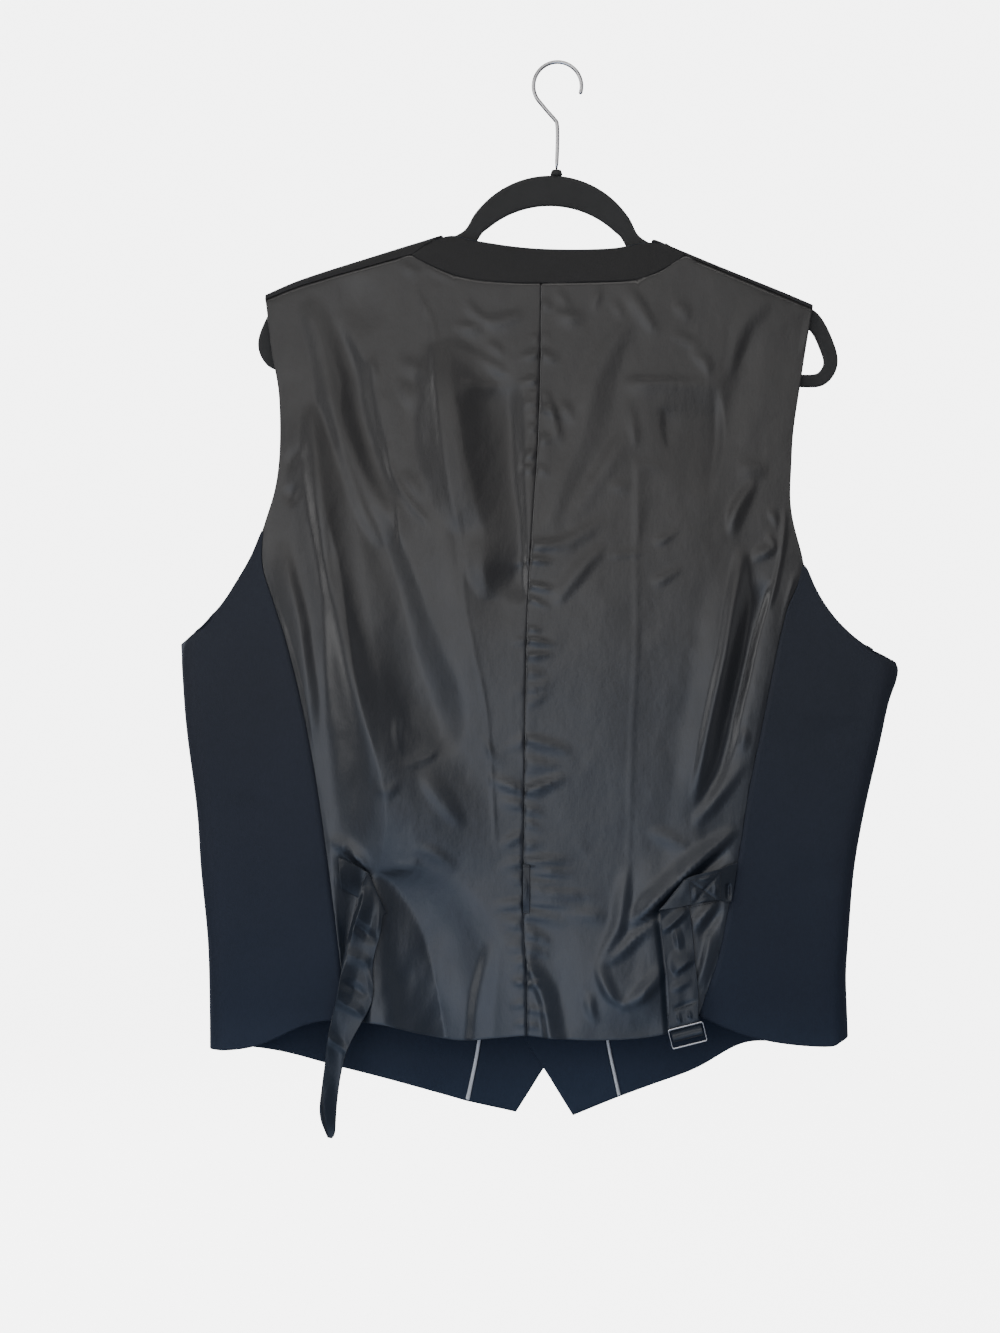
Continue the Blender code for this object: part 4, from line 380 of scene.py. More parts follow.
STRAP_RIGHT_FOLDS = (
    # Seams of the box and the puffs between them
    (0.8, ((-99, -624.4, 2.2, 2.2, 0), (-110.5, -632, 2.4, 2.4, -0.8), (-122, -640, 2.2, 2.2, 0))),
    (0.8, ((-122.5, -618.5, 2.2, 2.2, 0), (-111, -631, 2.4, 2.4, -0.8),
        (-100.5, -644.5, 2.2, 2.2, 0))),
    (0.4, ((-103, -629, 2.5, 2.5, 0), (-104, -634, 3, 3, 0.9), (-103, -639, 2.5, 2.5, 0))),
    (0.4, ((-118, -624, 2.5, 2.5, 0), (-119, -630, 3, 3, 0.9), (-118, -636, 2.5, 2.5, 0))),
    (0.4, ((-106, -623, 2, 2, 0), (-111, -623, 2.5, 2.5, 0.8), (-116, -621, 2, 2, 0))),
    (0.4, ((-106, -642, 2, 2, 0), (-111, -639, 2.5, 2.5, 0.8), (-116, -641, 2, 2, 0))),
    # Facets of the hanging part
    (0.5, ((-86, -694, 4, 10, 0), (-91, -691, 4, 14, 2.4), (-98, -686, 4, 14, 2.6),
        (-104, -681, 4, 10, 0))),
    (0.5, ((-77, -664, 4, 6, 0), (-85, -658, 5, 8, 2.4), (-93, -651, 5, 7, 2),
        (-98, -646, 4, 5, 0))),
    (0.4, ((-88, -660, 3, 5, 0), (-90, -668, 4, 6, 1.5), (-92, -680, 4, 5, 0))),
    (0.5, ((-84, -707, 4, 4, 0), (-92, -704, 4, 6, 1.2), (-101, -699, 4, 5, 0))),
    (0.6, ((-86, -721, 2.5, 3, 0), (-95, -718, 3, 3.5, -1.1), (-106, -714, 2.5, 3, 0))),
    (0.4, ((-90, -723, 2, 2, 0), (-91, -727, 2.5, 2.5, 1), (-92, -732, 2, 2, 0))),
    (0.4, ((-98, -721, 2, 2, 0), (-99, -725, 2.5, 2.5, 1), (-100, -729, 2, 2, 0))),
    # Slot and ridge at its sewn end
    (0.2, ((-128.5, -626, 2.5, 2.5, 0), (-128.7, -629, 3.2, 2.6, -2), (-128.9, -636, 3.2, 2.6, -2),
        (-129, -640, 2.5, 2.5, 0))),
    (0.4, ((-124, -641.5, 2.5, 2.5, 0), (-128, -642.5, 3, 3, 1.2), (-133, -642.5, 2.5, 2.5, 0))),
)
KEEPER_FOLDS = (
    (0.5, ((26, -620, 2, 2, 0), (24, -628, 2, 2, 0.4), (25, -640, 2, 2, 0))),
)
STRAP_STITCHES = (
    ("strap_right", 2.1, 1.6, ((-99, -624.4), (-123.2, -617.8), (-122.6, -640.8), (-100.3, -645.2),
        (-99, -624.4))),
    ("strap_right", 2.1, 1.6, ((-99.6, -625.4), (-122.0, -640.2))),
    ("strap_right", 2.1, 1.6, ((-122.4, -618.8), (-100.8, -644.4))),
    ("strap_right", 2.1, 1.6, ((-87.4, -721.8), (-105.6, -715.8))),
    ("keeper_loop", 0.5, 1.3, ((28.4, -613.2), (17.0, -613.4))),
    ("keeper_loop", 0.5, 1.3, ((28.2, -614.2), (17.6, -614.4))),
    ("keeper_loop", 0.55, 1.2, ((26.6, -648.0), (21.8, -648.0))),
)

# Button: share of the radius and of the depth; hole and step between hole and middle
BUTTON_PROFILE = ((0.55, 0.72), (0.66, 0.78), (0.76, 0.95), (0.86, 1.0), (0.95, 0.92), (1.0, 0.7),
                  (0.99, 0.4), (0.9, 0.12), (0.75, 0.0))
BUTTON_HOLE = 0.85 * MM
BUTTON_HOLE_STEP = 1.45 * MM
BUTTONHOLE_REACH = (-13.0, 2.0)
BUTTONHOLE_HALF = 0.9
BUTTONHOLE_STITCH = 0.75
BUTTONHOLE_STITCHES = 26
BUTTON_SIDES = 40
BUTTON_THREAD_SHIFT = 0.28 * MM

# Edge profiles of walls: share of the thickness inwards, and reach outwards in thicknesses
CLOTH_EDGE = ((0.0, -0.35), (0.14, -0.1), (0.5, 0.0), (0.86, -0.1), (1.0, -0.35))
PLATE_EDGE = ((0.0, 0.0), (0.05, 0.12), (0.13, 0.2), (0.25, 0.236), (0.75, 0.236), (0.87, 0.2), (0.95, 0.12),
              (1.0, 0.0))

# Hanger's collar, as shares of its radius and height, and its wire hook
COLLAR_PROFILE = ((0.96, 0.0), (1.0, 0.1), (0.98, 0.35), (0.86, 0.7), (0.8, 0.9), (0.72, 0.98), (0.5, 1.0))
HOOK_RADIUS = 18.4 * MM
HOOK_WIRE = 1.5 * MM
HOOK_ARC = (-44.0, 200.0)
HOOK_STEM = ((0.0, -60.0), (0.3, -46.5), (2.2, -42.6), (8.0, -36.0))

# Gap between the lowest point and the floor, in metres
FLOOR_DROP = 0.42

# Middle of the view, on the hanger's plane
VIEW_CENTRE = (0.0441, 0.0, -0.4621)

# Soft lights: name, turn towards the wearer's left and lift in degrees as seen from the middle of the
# back, distance, size across and up in metres, glow, colour
SOFT_LIGHTS = (
    ("key_high", 9.3, 19.0, 2.7, (1.55, 0.8), 1.3, (1.0, 0.965, 0.91)),
    ("right_high", -17.0, 19.0, 2.7, (0.8, 0.8), 1.5, (1.0, 0.965, 0.92)),
    ("key_middle", 9.3, 1.0, 2.6, (1.55, 0.85), 2.15, (0.99, 0.985, 0.985)),
    ("key_low", 9.3, -18.0, 2.7, (1.55, 0.85), 1.95, (0.80, 0.91, 1.12)),
    ("left", 60.0, 14.0, 2.4, (0.8, 2.0), 3.8, (1.0, 0.99, 0.98)),
    ("above", 0.0, 58.0, 2.2, (2.2, 0.8), 2.7, (1.0, 0.965, 0.92)),
    ("below", 8.0, -44.0, 2.0, (2.0, 0.9), 1.0, (0.62, 0.8, 1.1)),
    ("right", -62.0, 10.0, 2.6, (0.7, 1.8), 1.0, (0.98, 0.99, 1.0)),
    ("front", 150.0, 25.0, 2.6, (1.8, 1.8), 4.0, (1.0, 1.0, 1.0)),
)


# ---------------------------------------------------------------- shader expressions

class Value:
    """One output of a node, so that shader maths is written as an expression."""

    def __init__(self, graph, socket):
        self.graph = graph
        self.socket = socket

    def __add__(self, other):
        return self.graph.maths("ADD", self, other)

    __radd__ = __add__

    def __mul__(self, other):
        return self.graph.maths("MULTIPLY", self, other)

    __rmul__ = __mul__

    def __sub__(self, other):
        return self.graph.maths("SUBTRACT", self, other)

    def __rsub__(self, other):
        return self.graph.maths("SUBTRACT", other, self)

    def __truediv__(self, other):
        return self.graph.maths("DIVIDE", self, other)

    def __rtruediv__(self, other):
        return self.graph.maths("DIVIDE", other, self)


class Finish:
    """A material's node graph round one Principled shader."""

    def __init__(self, name, colour, roughness, metallic=0.0, **uniform):
        self.material = bpy.data.materials.new(name)
        self.material.use_nodes = True
        self.tree = self.material.node_tree
        self.shader = self.tree.nodes["Principled BSDF"]
        self.shader.inputs["Base Color"].default_value = (*colour[:3], 1.0)
        self.shader.inputs["Roughness"].default_value = roughness
        self.shader.inputs["Metallic"].default_value = metallic
        for socket, value in uniform.items():
            self.shader.inputs[socket.replace("_", " ")].default_value = value

    def node(self, kind, settings=None, sockets=None, output=0):
        """Adds a node: its settings first, then its sockets' values or links."""
        made = self.tree.nodes.new(kind)
        for key, value in (settings or {}).items():
            setattr(made, key, value)
        for key, value in (sockets or {}).items():
            if isinstance(value, Value):
                self.tree.links.new(value.socket, made.inputs[key])
            else:
                made.inputs[key].default_value = value
        return Value(self, made.outputs[output])

    def maths(self, operation, first, second):
        return self.node("ShaderNodeMath", {"operation": operation}, {0: first, 1: second})

    def place(self):
        """Place on the piece, in metres."""
        return self.node("ShaderNodeTexCoord", output="Object")

    def stretched(self, scale):
        """Place on the piece, stretched by a scale for each axis."""
        return self.node("ShaderNodeVectorMath", {"operation": "MULTIPLY"}, {0: self.place(), 1: scale})

    def noise(self, scale, detail=2.0, rough=0.5):
        """Cloudy value from 0 to 1, with a scale for each axis in cells a metre."""
        return self.node("ShaderNodeTexNoise", {}, {
            "Vector": self.stretched(scale), "Scale": 1.0, "Detail": detail, "Roughness": rough})

    def blend(self, share, first, second, mode="MIX"):
        """Mix of two colours."""
        first, second = (colour if isinstance(colour, Value) else (*colour[:3], 1.0)
                         for colour in (first, second))
        return self.node("ShaderNodeMix", {"data_type": "RGBA", "blend_type": mode}, {
            0: share, 6: first, 7: second}, output=2)

    def by_height(self, stops):
        """Colour that runs through stops of (height in metres, colour), from the lowest up."""
        height = self.node("ShaderNodeSeparateXYZ", {}, {0: self.place()}, output=2)
        result = stops[0][1]
        for (low, _), (high, colour) in zip(stops, stops[1:]):
            result = self.blend((height - low) / (high - low), result, colour)
        return result

    def shade(self, colour, dark, share):
        """Colour that darkens to a part of itself where the share falls to 0."""
        self.feed("Base Color", self.blend(1.0, colour, self.blend(share, (dark,) * 3, (1.0,) * 3), "MULTIPLY"))

    def feed(self, socket, value):
        self.tree.links.new(value.socket, self.shader.inputs[socket])

    def bump(self, height, distance):
        self.feed("Normal", self.node("ShaderNodeBump", {}, {
            "Height": height, "Distance": distance, "Strength": 1.0}))


def satin_finish(name, settings, gloss):
    """Smooth dark satin: soft gloss, fine slubs across and a faint crumple, with painted light by height,
    neutral at the shoulders and bluer at the waist.
    """
    finish = Finish(name, settings.satin_shoulder_lit_colour, settings.satin_roughness,
                    Specular_IOR_Level=gloss, Sheen_Weight=0.04, Sheen_Roughness=0.4)
    # Painted light by height: the base colour runs from a neutral tone at the shoulders to a bluer one at the
    # waist and on the straps, as under warmer light from above and cooler light from below
    finish.shade(finish.by_height(((-0.72, settings.satin_waist_cool_lit_colour), (-0.36, settings.satin_shoulder_lit_colour))),
                 0.75, finish.noise((11.0, 11.0, 6.0), 3.0))
    finish.feed("Roughness", settings.satin_roughness - 0.06 + 0.12 * finish.noise((70.0, 70.0, 28.0), 2.0))
    warp = finish.noise((1500.0, 1500.0, 130.0), 1.0)
    weft = finish.noise((110.0, 110.0, 2100.0), 1.0)
    crumple = finish.noise((75.0, 75.0, 52.0), 3.0, 0.6)
    wave = finish.noise((30.0, 30.0, 20.0), 2.0, 0.5)
    finish.bump(warp + 0.8 * weft + 17.0 * crumple + 26.0 * wave, settings.satin_grain)
    return finish.material


def wool_finish(name, settings, stops):
    """Matte worsted, coloured by height with painted light: fine twill lines under a short nap."""
    finish = Finish(name, stops[0][1], 0.8, Specular_IOR_Level=0.35, Sheen_Weight=settings.wool_nap,
                    Sheen_Roughness=0.4, Sheen_Tint=(0.55, 0.7, 1.0, 1.0))
    melange = finish.noise((900.0, 900.0, 240.0), 2.0, 0.6)
    cloud = finish.noise((16.0, 16.0, 11.0), 4.0)
    finish.shade(finish.by_height(stops), 0.62, 0.55 * melange + 0.6 * cloud)
    twill = finish.node("ShaderNodeTexWave", {"bands_direction": "DIAGONAL"}, {
        "Vector": finish.place(), "Scale": 430.0, "Distortion": 1.5, "Detail": 1.0})
    fuzz = finish.noise((2600.0, 2600.0, 2600.0), 2.0)
    finish.bump(0.6 * twill + fuzz, settings.wool_grain)
    return finish.material


def piping_finish(name, settings):
    """Pale satin with a soft gloss."""
    finish = Finish(name, settings.piping_colour, 0.42, Specular_IOR_Level=0.5)
    finish.shade(settings.piping_colour, 0.6, finish.noise((300.0, 300.0, 120.0), 3.0))
    finish.bump(finish.noise((1400.0, 1400.0, 500.0), 2.0), 0.05 * MM)
    return finish.material


def thread_finish(name, colour):
    """Twisted thread."""
    finish = Finish(name, colour, 0.5, Specular_IOR_Level=0.5)
    twist = finish.node("ShaderNodeTexWave", {"bands_direction": "DIAGONAL"}, {
        "Vector": finish.place(), "Scale": 1400.0, "Distortion": 0.5})
    finish.shade(colour, 0.6, twist)
    finish.bump(twist, 0.06 * MM)
    return finish.material


def metal_finish(name, colour, roughness):
    """Polished metal with faint wear."""
    finish = Finish(name, colour, roughness, 1.0)
    finish.feed("Roughness", roughness - 0.05 + 0.16 * finish.noise((420.0, 420.0, 420.0), 4.0))
    finish.shade(colour, 0.85, finish.noise((90.0, 90.0, 90.0), 3.0))
    return finish.material


def horn_finish(name, colour):
    """Dark polished button with cloudy streaks."""
    finish = Finish(name, colour, 0.25, Specular_IOR_Level=0.5, Coat_Weight=0.2, Coat_Roughness=0.15)
    streak = finish.noise((260.0, 260.0, 700.0), 4.0, 0.6)
    finish.feed("Base Color", finish.blend(streak, colour, [4.0 * c for c in colour]))
    finish.bump(finish.noise((900.0, 900.0, 900.0), 2.0), 0.02 * MM)
    return finish.material


def flock_finish(name, colour):
    """Short black flock."""
    finish = Finish(name, colour, 0.95, Specular_IOR_Level=0.15, Sheen_Weight=0.12, Sheen_Roughness=0.5)
    fuzz = finish.noise((3200.0, 3200.0, 3200.0), 2.0)
    worn = finish.noise((45.0, 45.0, 45.0), 4.0, 0.6)
    finish.shade(colour, 0.7, 0.5 * fuzz + 0.6 * worn)
    finish.bump(fuzz, 0.12 * MM)
    return finish.material


# ---------------------------------------------------------------- cloth from the frame's walls

def smooth_step(low, high, value):
    t = np.clip((value - low) / (high - low), 0.0, 1.0)
    return t * t * (3.0 - 2.0 * t)


def grown(seeds, allowed, bend):
    """Faces reached from the seeds over edges that bend less than a limit."""
    reached = list(seeds)
    for face in reached:
        for edge in face.edges:
            for other in edge.link_faces:
                if other in allowed and other.normal.dot(face.normal) > bend:
                    allowed.discard(other)
                    reached.append(other)
    return reached


def wall_face(node, toward, wall, square):
    """Points and faces of one side of a wall: the side that looks most along toward.

    square is how squarely the two sides of the wall must face each other."""
    mesh = bmesh.new()
    mesh.from_mesh(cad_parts[node].data)
    bmesh.ops.remove_doubles(mesh, verts=mesh.verts, dist=1e-6)
    mesh.faces.ensure_lookup_table()
    tree = BVHTree.FromBMesh(mesh)
    broad = set()
    for face in mesh.faces:
        hit = tree.ray_cast(face.calc_center_median() - face.normal * 0.02 * MM, -face.normal)
        met = hit[0] is not None and WALL_MET[0] * wall < hit[3] < WALL_MET[1] * wall
        if met and hit[1].dot(face.normal) < -square:
            broad.add(face)
    sides = []
    waiting = set(broad)
    for face in mesh.faces:
        if face in waiting:
            waiting.discard(face)
            side = grown([face], waiting, SIDE_BEND)
            look = sum((other.normal * other.calc_area() for other in side), Vector())
            sides.append((look.dot(Vector(toward)), sum(other.calc_area() for other in side), side))
    largest = max(area for _, area, _ in sides)
    bend = max(RIM_BEND, square)
    rest = set(mesh.faces) - broad
    whole = max((side for side in sides if side[1] > WHOLE_SIDE * largest), key=lambda side: side[0])[2]
    keep = set(grown(whole, rest, bend))
    # A piece that is folded over goes on behind its fold
    for _, area, side in sides:
        if FOLDED_PART * largest < area < WHOLE_SIDE * largest:
            behind = grown(side, set(mesh.faces) - broad - keep, bend)
            folds = sum(-0.5 < other.normal.dot(face.normal) < 0.3
                        for face in behind for edge in face.edges for other in edge.link_faces if other in keep)
            if folds > 1:
                keep |= set(behind)
    bmesh.ops.delete(mesh, geom=[face for face in mesh.faces if face not in keep], context="FACES")
    bmesh.ops.join_triangles(mesh, faces=mesh.faces[:], angle_face_threshold=math.radians(60.0),
                             angle_shape_threshold=math.radians(80.0))
    mesh.verts.index_update()
    points = np.array([vert.co for vert in mesh.verts])
    faces = [[vert.index for vert in face.verts] for face in mesh.faces]
    mesh.free()
    return points, faces


def refined(points, faces, level):
    """The faces divided into a smooth surface."""
    mesh = bpy.data.meshes.new("refined")
    mesh.from_pydata(points.tolist(), [], faces)
    obj = bpy.data.objects.new("refined", mesh)
    bpy.context.scene.collection.objects.link(obj)
    divide = obj.modifiers.new("divide", "SUBSURF")
    divide.levels = divide.render_levels = level
    divide.boundary_smooth = "PRESERVE_CORNERS"
    divide.use_limit_surface = False
    graph = bpy.context.evaluated_depsgraph_get()
    fine = bpy.data.meshes.new_from_object(obj.evaluated_get(graph))
    co = np.zeros(len(fine.vertices) * 3)
    fine.vertices.foreach_get("co", co)
    corners = np.zeros(len(fine.loops), int)
    fine.loops.foreach_get("vertex_index", corners)
    bpy.data.objects.remove(obj)
    bpy.data.meshes.remove(mesh)
    bpy.data.meshes.remove(fine)
    return co.reshape(-1, 3), corners.reshape(-1, 4)


def unfolded(points, quads):
    """The surface with its few faces that turn over smoothed out. Its rim stays a line."""
    rim = rim_of(quads)
    inner = np.ones(len(points), bool)
    inner[rim] = False
    ends = np.concatenate([quads[:, [a, b]] for a, b in ((0, 1), (1, 2), (2, 3), (3, 0))])
    links = np.concatenate([ends, ends[:, ::-1]])
    links = np.concatenate([links[inner[links[:, 0]]], rim, rim[:, ::-1]])
    count = np.bincount(links[:, 0], minlength=len(points))[:, None]
    for _ in range(UNFOLDING_ROUNDS):
        corners = points[quads]
        cross = np.cross(corners[:, 2] - corners[:, 0], corners[:, 3] - corners[:, 1])
        cross /= np.maximum(np.linalg.norm(cross, axis=1), 1e-15)[:, None]
        turned = np.einsum("ij,ikj->ik", cross, normals_of(points, quads)[quads]).min(axis=1) < TURNED
        if not turned.any():
            break
        moved = np.zeros(len(points), bool)
        moved[quads[turned]] = True
        moved[links[moved[links[:, 0]], 1]] = True
        total = np.zeros_like(points)
        np.add.at(total, links[:, 0], points[links[:, 1]])
        points = np.where(moved[:, None], total / count, points)
    return points, quads


def smooth_cloth(node, toward, wall, level, square=0.6):
    """Smooth surface that passes through the points of one side of a wall.

    Points away from its rim may slide along it, so that narrow faces don't fold over."""
    points, faces = wall_face(node, toward, wall, square)
    held = points.copy()
    count = len(points)
    for _ in range(HOLDING_ROUNDS):
        fine, quads = refined(held, faces, 2)
        step = points - fine[:count]
        normals = normals_of(fine, quads)[:count]
        rim = np.unique(rim_of(quads))
        away = np.einsum("ij,ij->i", step, normals)[:, None] * normals
        away[rim[rim < count]] = step[rim[rim < count]]
        held += away
    return unfolded(*refined(held, faces, level))


def normals_of(points, quads):
    cross = np.cross(points[quads[:, 2]] - points[quads[:, 0]], points[quads[:, 3]] - points[quads[:, 1]])
    total = np.zeros_like(points)
    for column in range(4):
        np.add.at(total, quads[:, column], cross)
    return total / np.maximum(np.linalg.norm(total, axis=1), 1e-15)[:, None]


def rim_of(quads):
    """Directed edges that only one face has."""
    edges = np.concatenate([quads[:, [k, (k + 1) % 4]] for k in range(4)])
    keys = np.sort(edges, axis=1)
    _, index, count = np.unique(keys, axis=0, return_index=True, return_counts=True)
    return edges[index[count == 1]]


def cloth_wall(name, surface, lifts, wall, finish, sewn=None, edge=CLOTH_EDGE, seam_reach=SEAM_REACH):
    """Closed wall under a surface of points and quads that is first lifted by the folds.

    Its free edges follow the edge profile, and its sewn ones reach across the seam's gap."""
    points, quads = surface
    normals = normals_of(points, quads)
    rim = rim_of(quads)
    along = np.zeros_like(points)
    step = points[rim[:, 1]] - points[rim[:, 0]]
    np.add.at(along, rim[:, 0], step)
    np.add.at(along, rim[:, 1], step)
    ring = np.unique(rim)
    outward = np.cross(along[ring], normals[ring])
    outward /= np.maximum(np.linalg.norm(outward, axis=1), 1e-15)[:, None]
    outer = points + lifts
    inner = outer - normals * wall
    closed = (np.zeros(len(ring)) if sewn is None else sewn[ring])[:, None]
    start = outer[ring].copy()
    layers = []
    for depth, out in edge:
        reach = closed * seam_reach + (1 - closed) * out * wall
        layers.append(start - normals[ring] * depth * wall + outward * reach)
    outer[ring] = layers[0]
    inner[ring] = layers[-1]
    count = len(points)
    rows = [np.full(count, -1) for _ in layers]
    for number, row in enumerate(rows):
        if number == 0:
            row[ring] = ring
        elif number == len(rows) - 1:
            row[ring] = ring + count
        else:
            row[ring] = np.arange(len(ring)) + 2 * count + (number - 1) * len(ring)
    a, b = rim[:, 0], rim[:, 1]
    faces = [quads, quads[:, ::-1] + count]
    faces += [np.stack([high[b], high[a], low[a], low[b]], axis=1) for high, low in zip(rows, rows[1:])]
    return mesh_piece(name, np.concatenate([outer, inner, *layers[1:-1]]), np.concatenate(faces), finish)


def mesh_piece(name, points, faces, finish):
    mesh = bpy.data.meshes.new(name)
    faces = faces.tolist() if isinstance(faces, np.ndarray) else faces
    mesh.from_pydata(np.asarray(points).tolist(), [], faces)
    mesh.shade_smooth()
    mesh.materials.append(finish)
    obj = bpy.data.objects.new(name, mesh)
    bpy.context.scene.collection.objects.link(obj)
    return obj


def ring_faces(rows, around, first=0):
    """Faces between rings of points that follow one another."""
    return [(first + r * around + k, first + r * around + (k + 1) % around,
             first + (r + 1) * around + (k + 1) % around, first + (r + 1) * around + k)
            for r in range(rows - 1) for k in range(around)]


def smooth_rows(rows, parts=5):
    """Rows of a table with more rows between them, on a smooth curve."""
    rows = np.array(rows, float)
    padded = np.vstack([2 * rows[0] - rows[1], rows, 2 * rows[-1] - rows[-2]])
    result = [rows[0]]
    for before, start, end, after in zip(padded, padded[1:], padded[2:], padded[3:]):
        for t in np.arange(1, parts + 1) / parts:
            result.append(0.5 * (2 * start + (end - before) * t
                                 + (2 * before - 5 * start + 4 * end - after) * t * t
                                 + (3 * start - before - 3 * end + after) * t ** 3))
    return np.array(result)


def fold_height(x, z, folds):
    """Height of the folds at places on the cloth, in mm."""
    total = np.zeros_like(x)
    for peak, stations in folds:
        line = smooth_rows(stations)
        reach = line[:, 2:4].max()
        near = np.flatnonzero((x > line[:, 0].min() - reach) & (x < line[:, 0].max() + reach)
                              & (z > line[:, 1].min() - reach) & (z < line[:, 1].max() + reach))
        if not len(near):
            continue
        px, pz = x[near], z[near]
        best = np.full(len(near), 1e9)
        side = np.zeros(len(near))
        values = np.zeros((len(near), 3))
        for start, end in zip(line, line[1:]):
            dx, dz = end[0] - start[0], end[1] - start[1]
            part = np.clip(((px - start[0]) * dx + (pz - start[1]) * dz) / (dx * dx + dz * dz), 0.0, 1.0)
            away_x, away_z = px - start[0] - part * dx, pz - start[1] - part * dz
            away = np.hypot(away_x, away_z)
            closer = away < best
            best[closer] = away[closer]
            side[closer] = (away_z * dx - away_x * dz)[closer]
            values[closer] = start[2:] + part[closer, None] * (end[2:] - start[2:])
        share = np.clip(best / np.maximum(np.where(side > 0.0, values[:, 0], values[:, 1]), 0.5), 0.0, 1.0)
        total[near] += values[:, 2] * ((1 - peak) * (1 - share ** 2) ** 2 + peak * (1 - share) ** 2)
    return total


def pucker_folds(seam):
    """Puckers as folds that start at the middle seam; seam is its x by z."""
    folds = []
    for side, z, rise, length, above, below, height in SEAM_PUCKERS:
        x = float(np.interp(z, seam[:, 1], seam[:, 0]))
        below, above = 0.85 * below, 0.85 * above
        stations = [(x, z, below * 0.6, above * 0.6, height * 0.7),
                    (x + side * length * 0.35, z + rise * 0.3, below, above, height),
                    (x + side * length, z + rise, below * 0.7, above * 0.7, 0.0)]
        folds.append((0.5, stations[::-1] if side > 0 else stations))
    return folds


def tree_of(node):
    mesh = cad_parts[node].data
    return BVHTree.FromPolygons([vert.co for vert in mesh.vertices],
                                [tuple(face.vertices) for face in mesh.polygons])


def sewn_to(surface, *nodes):
    """1 for points of the cloth's edge that lie against the other pieces, 0 for the rest."""
    points, quads = surface
    trees = [tree_of(node) for node in nodes]
    result = np.zeros(len(points))
    for index in np.unique(rim_of(quads)):
        if any(tree.find_nearest(points[index], 1.2 * MM)[0] is not None for tree in trees):
            result[index] = 1.0
    return result


def away_from(points, marked, reach):
    """0 at the marked points, rising smoothly to 1 at the reach."""
    places = points[marked > 0]
    tree = KDTree(len(places))
    for index, place in enumerate(places):
        tree.insert(place, index)
    tree.balance()
    return smooth_step(0.0, reach, np.array([tree.find(point)[2] for point in points]))


def uneven(x, z, size, seed):
    """Soft random height from -1 to 1, the same on every run."""
    cells = np.random.RandomState(seed).uniform(-1.0, 1.0, (64, 64))
    u, v = x / size[0] + 31.0, z / size[1] + 31.0
    i, j = np.floor(u).astype(int), np.floor(v).astype(int)
    s, t = u - i, v - j
    s, t = s * s * (3 - 2 * s), t * t * (3 - 2 * t)
    i, j = i % 64, j % 64
    k, m = (i + 1) % 64, (j + 1) % 64
    return ((cells[i, j] * (1 - s) + cells[k, j] * s) * (1 - t)
            + (cells[i, m] * (1 - s) + cells[k, m] * s) * t)


def along_y(heights):
    """Lifts towards the back, from heights in mm."""
    return np.outer(heights * MM, (0.0, 1.0, 0.0))


def resting_lift(points, below, wall):
    """Least lift in mm, so that cloth at the back stays clear of what it rests on."""
    lifts = np.full(len(points), -1e3)
    for index, point in enumerate(points):
        hit = below.ray_cast(Vector((point[0], 0.1, point[2])), Vector((0.0, -1.0, 0.0)))[0]
        if hit is not None:
            lifts[index] = (hit.y + wall + CLEAR - point[1]) / MM
    return lifts


def room_under(points, above):
    """Most lift in mm, so that cloth stays clear of the pieces that lie over it."""
    room = np.full(len(points), 1e3)
    for index, point in enumerate(points):
        for tree in above:
            hit = tree.ray_cast(Vector(point) - Vector((0.0, 4.0 * MM, 0.0)), Vector((0.0, 1.0, 0.0)))[0]
            if hit is not None:
                room[index] = min(room[index], (hit.y - CLEAR - point[1]) / MM)
    return room


def spread(heights, quads, rounds=10):
    """Heights with a soft slope round them, nowhere lower than they were."""
    for _ in range(rounds):
        total = np.zeros_like(heights)
        count = np.zeros_like(heights)
        for a, b in ((0, 1), (1, 2), (2, 3), (3, 0)):
            for start, end in ((a, b), (b, a)):
                np.add.at(total, quads[:, start], heights[quads[:, end]])
                np.add.at(count, quads[:, start], 1.0)
        heights = np.maximum(heights, total / count)
    return heights


def evened(heights, quads, rounds):
    """Heights averaged with their neighbours' over and over."""
    ends = np.concatenate([quads[:, [a, b]] for a, b in ((0, 1), (1, 2), (2, 3), (3, 0))])
    count = np.bincount(ends.ravel(), minlength=len(heights))
    for _ in range(rounds):
        total = np.bincount(ends[:, 0], heights[ends[:, 1]], len(heights))
        total += np.bincount(ends[:, 1], heights[ends[:, 0]], len(heights))
        heights = 0.5 * heights + 0.5 * total / count
    return heights


def front_lift(points):
    """Lift of the fronts' cloth away from the wearer's body, in mm, where it faces forward."""
    x, z = points[:, 0] / MM, points[:, 2] / MM
    rise = fold_height(x, z, FRONT_FOLDS) + 0.3 * uneven(x, z, (40.0, 60.0), 5)
    return rise * smooth_step(12.0, 30.0, np.abs(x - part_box("button_3")[0].x / MM - 7.0))


# ---------------------------------------------------------------- thread

def capsules(stitches, radius, sides=6):
    """Mesh of short rounded stitches, each given by its two ends and the way out of the cloth."""
    points, faces = [], []
    for start, end, out in stitches:
        start, end, out = Vector(start), Vector(end), Vector(out).normalized()
        across = (end - start).cross(out).normalized()
        first = len(points)
        rows = ((0.0, 0.35, -0.6), (0.16, 0.9, 0.2), (0.5, 1.0, 0.45), (0.84, 0.9, 0.2), (1.0, 0.35, -0.6))
        for share, size, stand in rows:
            middle = start.lerp(end, share) + out * radius * stand
            for k in range(sides):
                turn = math.tau * k / sides
                points.append(middle + (across * math.cos(turn) + out * math.sin(turn) * 0.8) * radius * size)
        faces += ring_faces(len(rows), sides, first)
        faces.append(tuple(first + k for k in reversed(range(sides))))
        faces.append(tuple(first + (len(rows) - 1) * sides + k for k in range(sides)))
    return points, faces


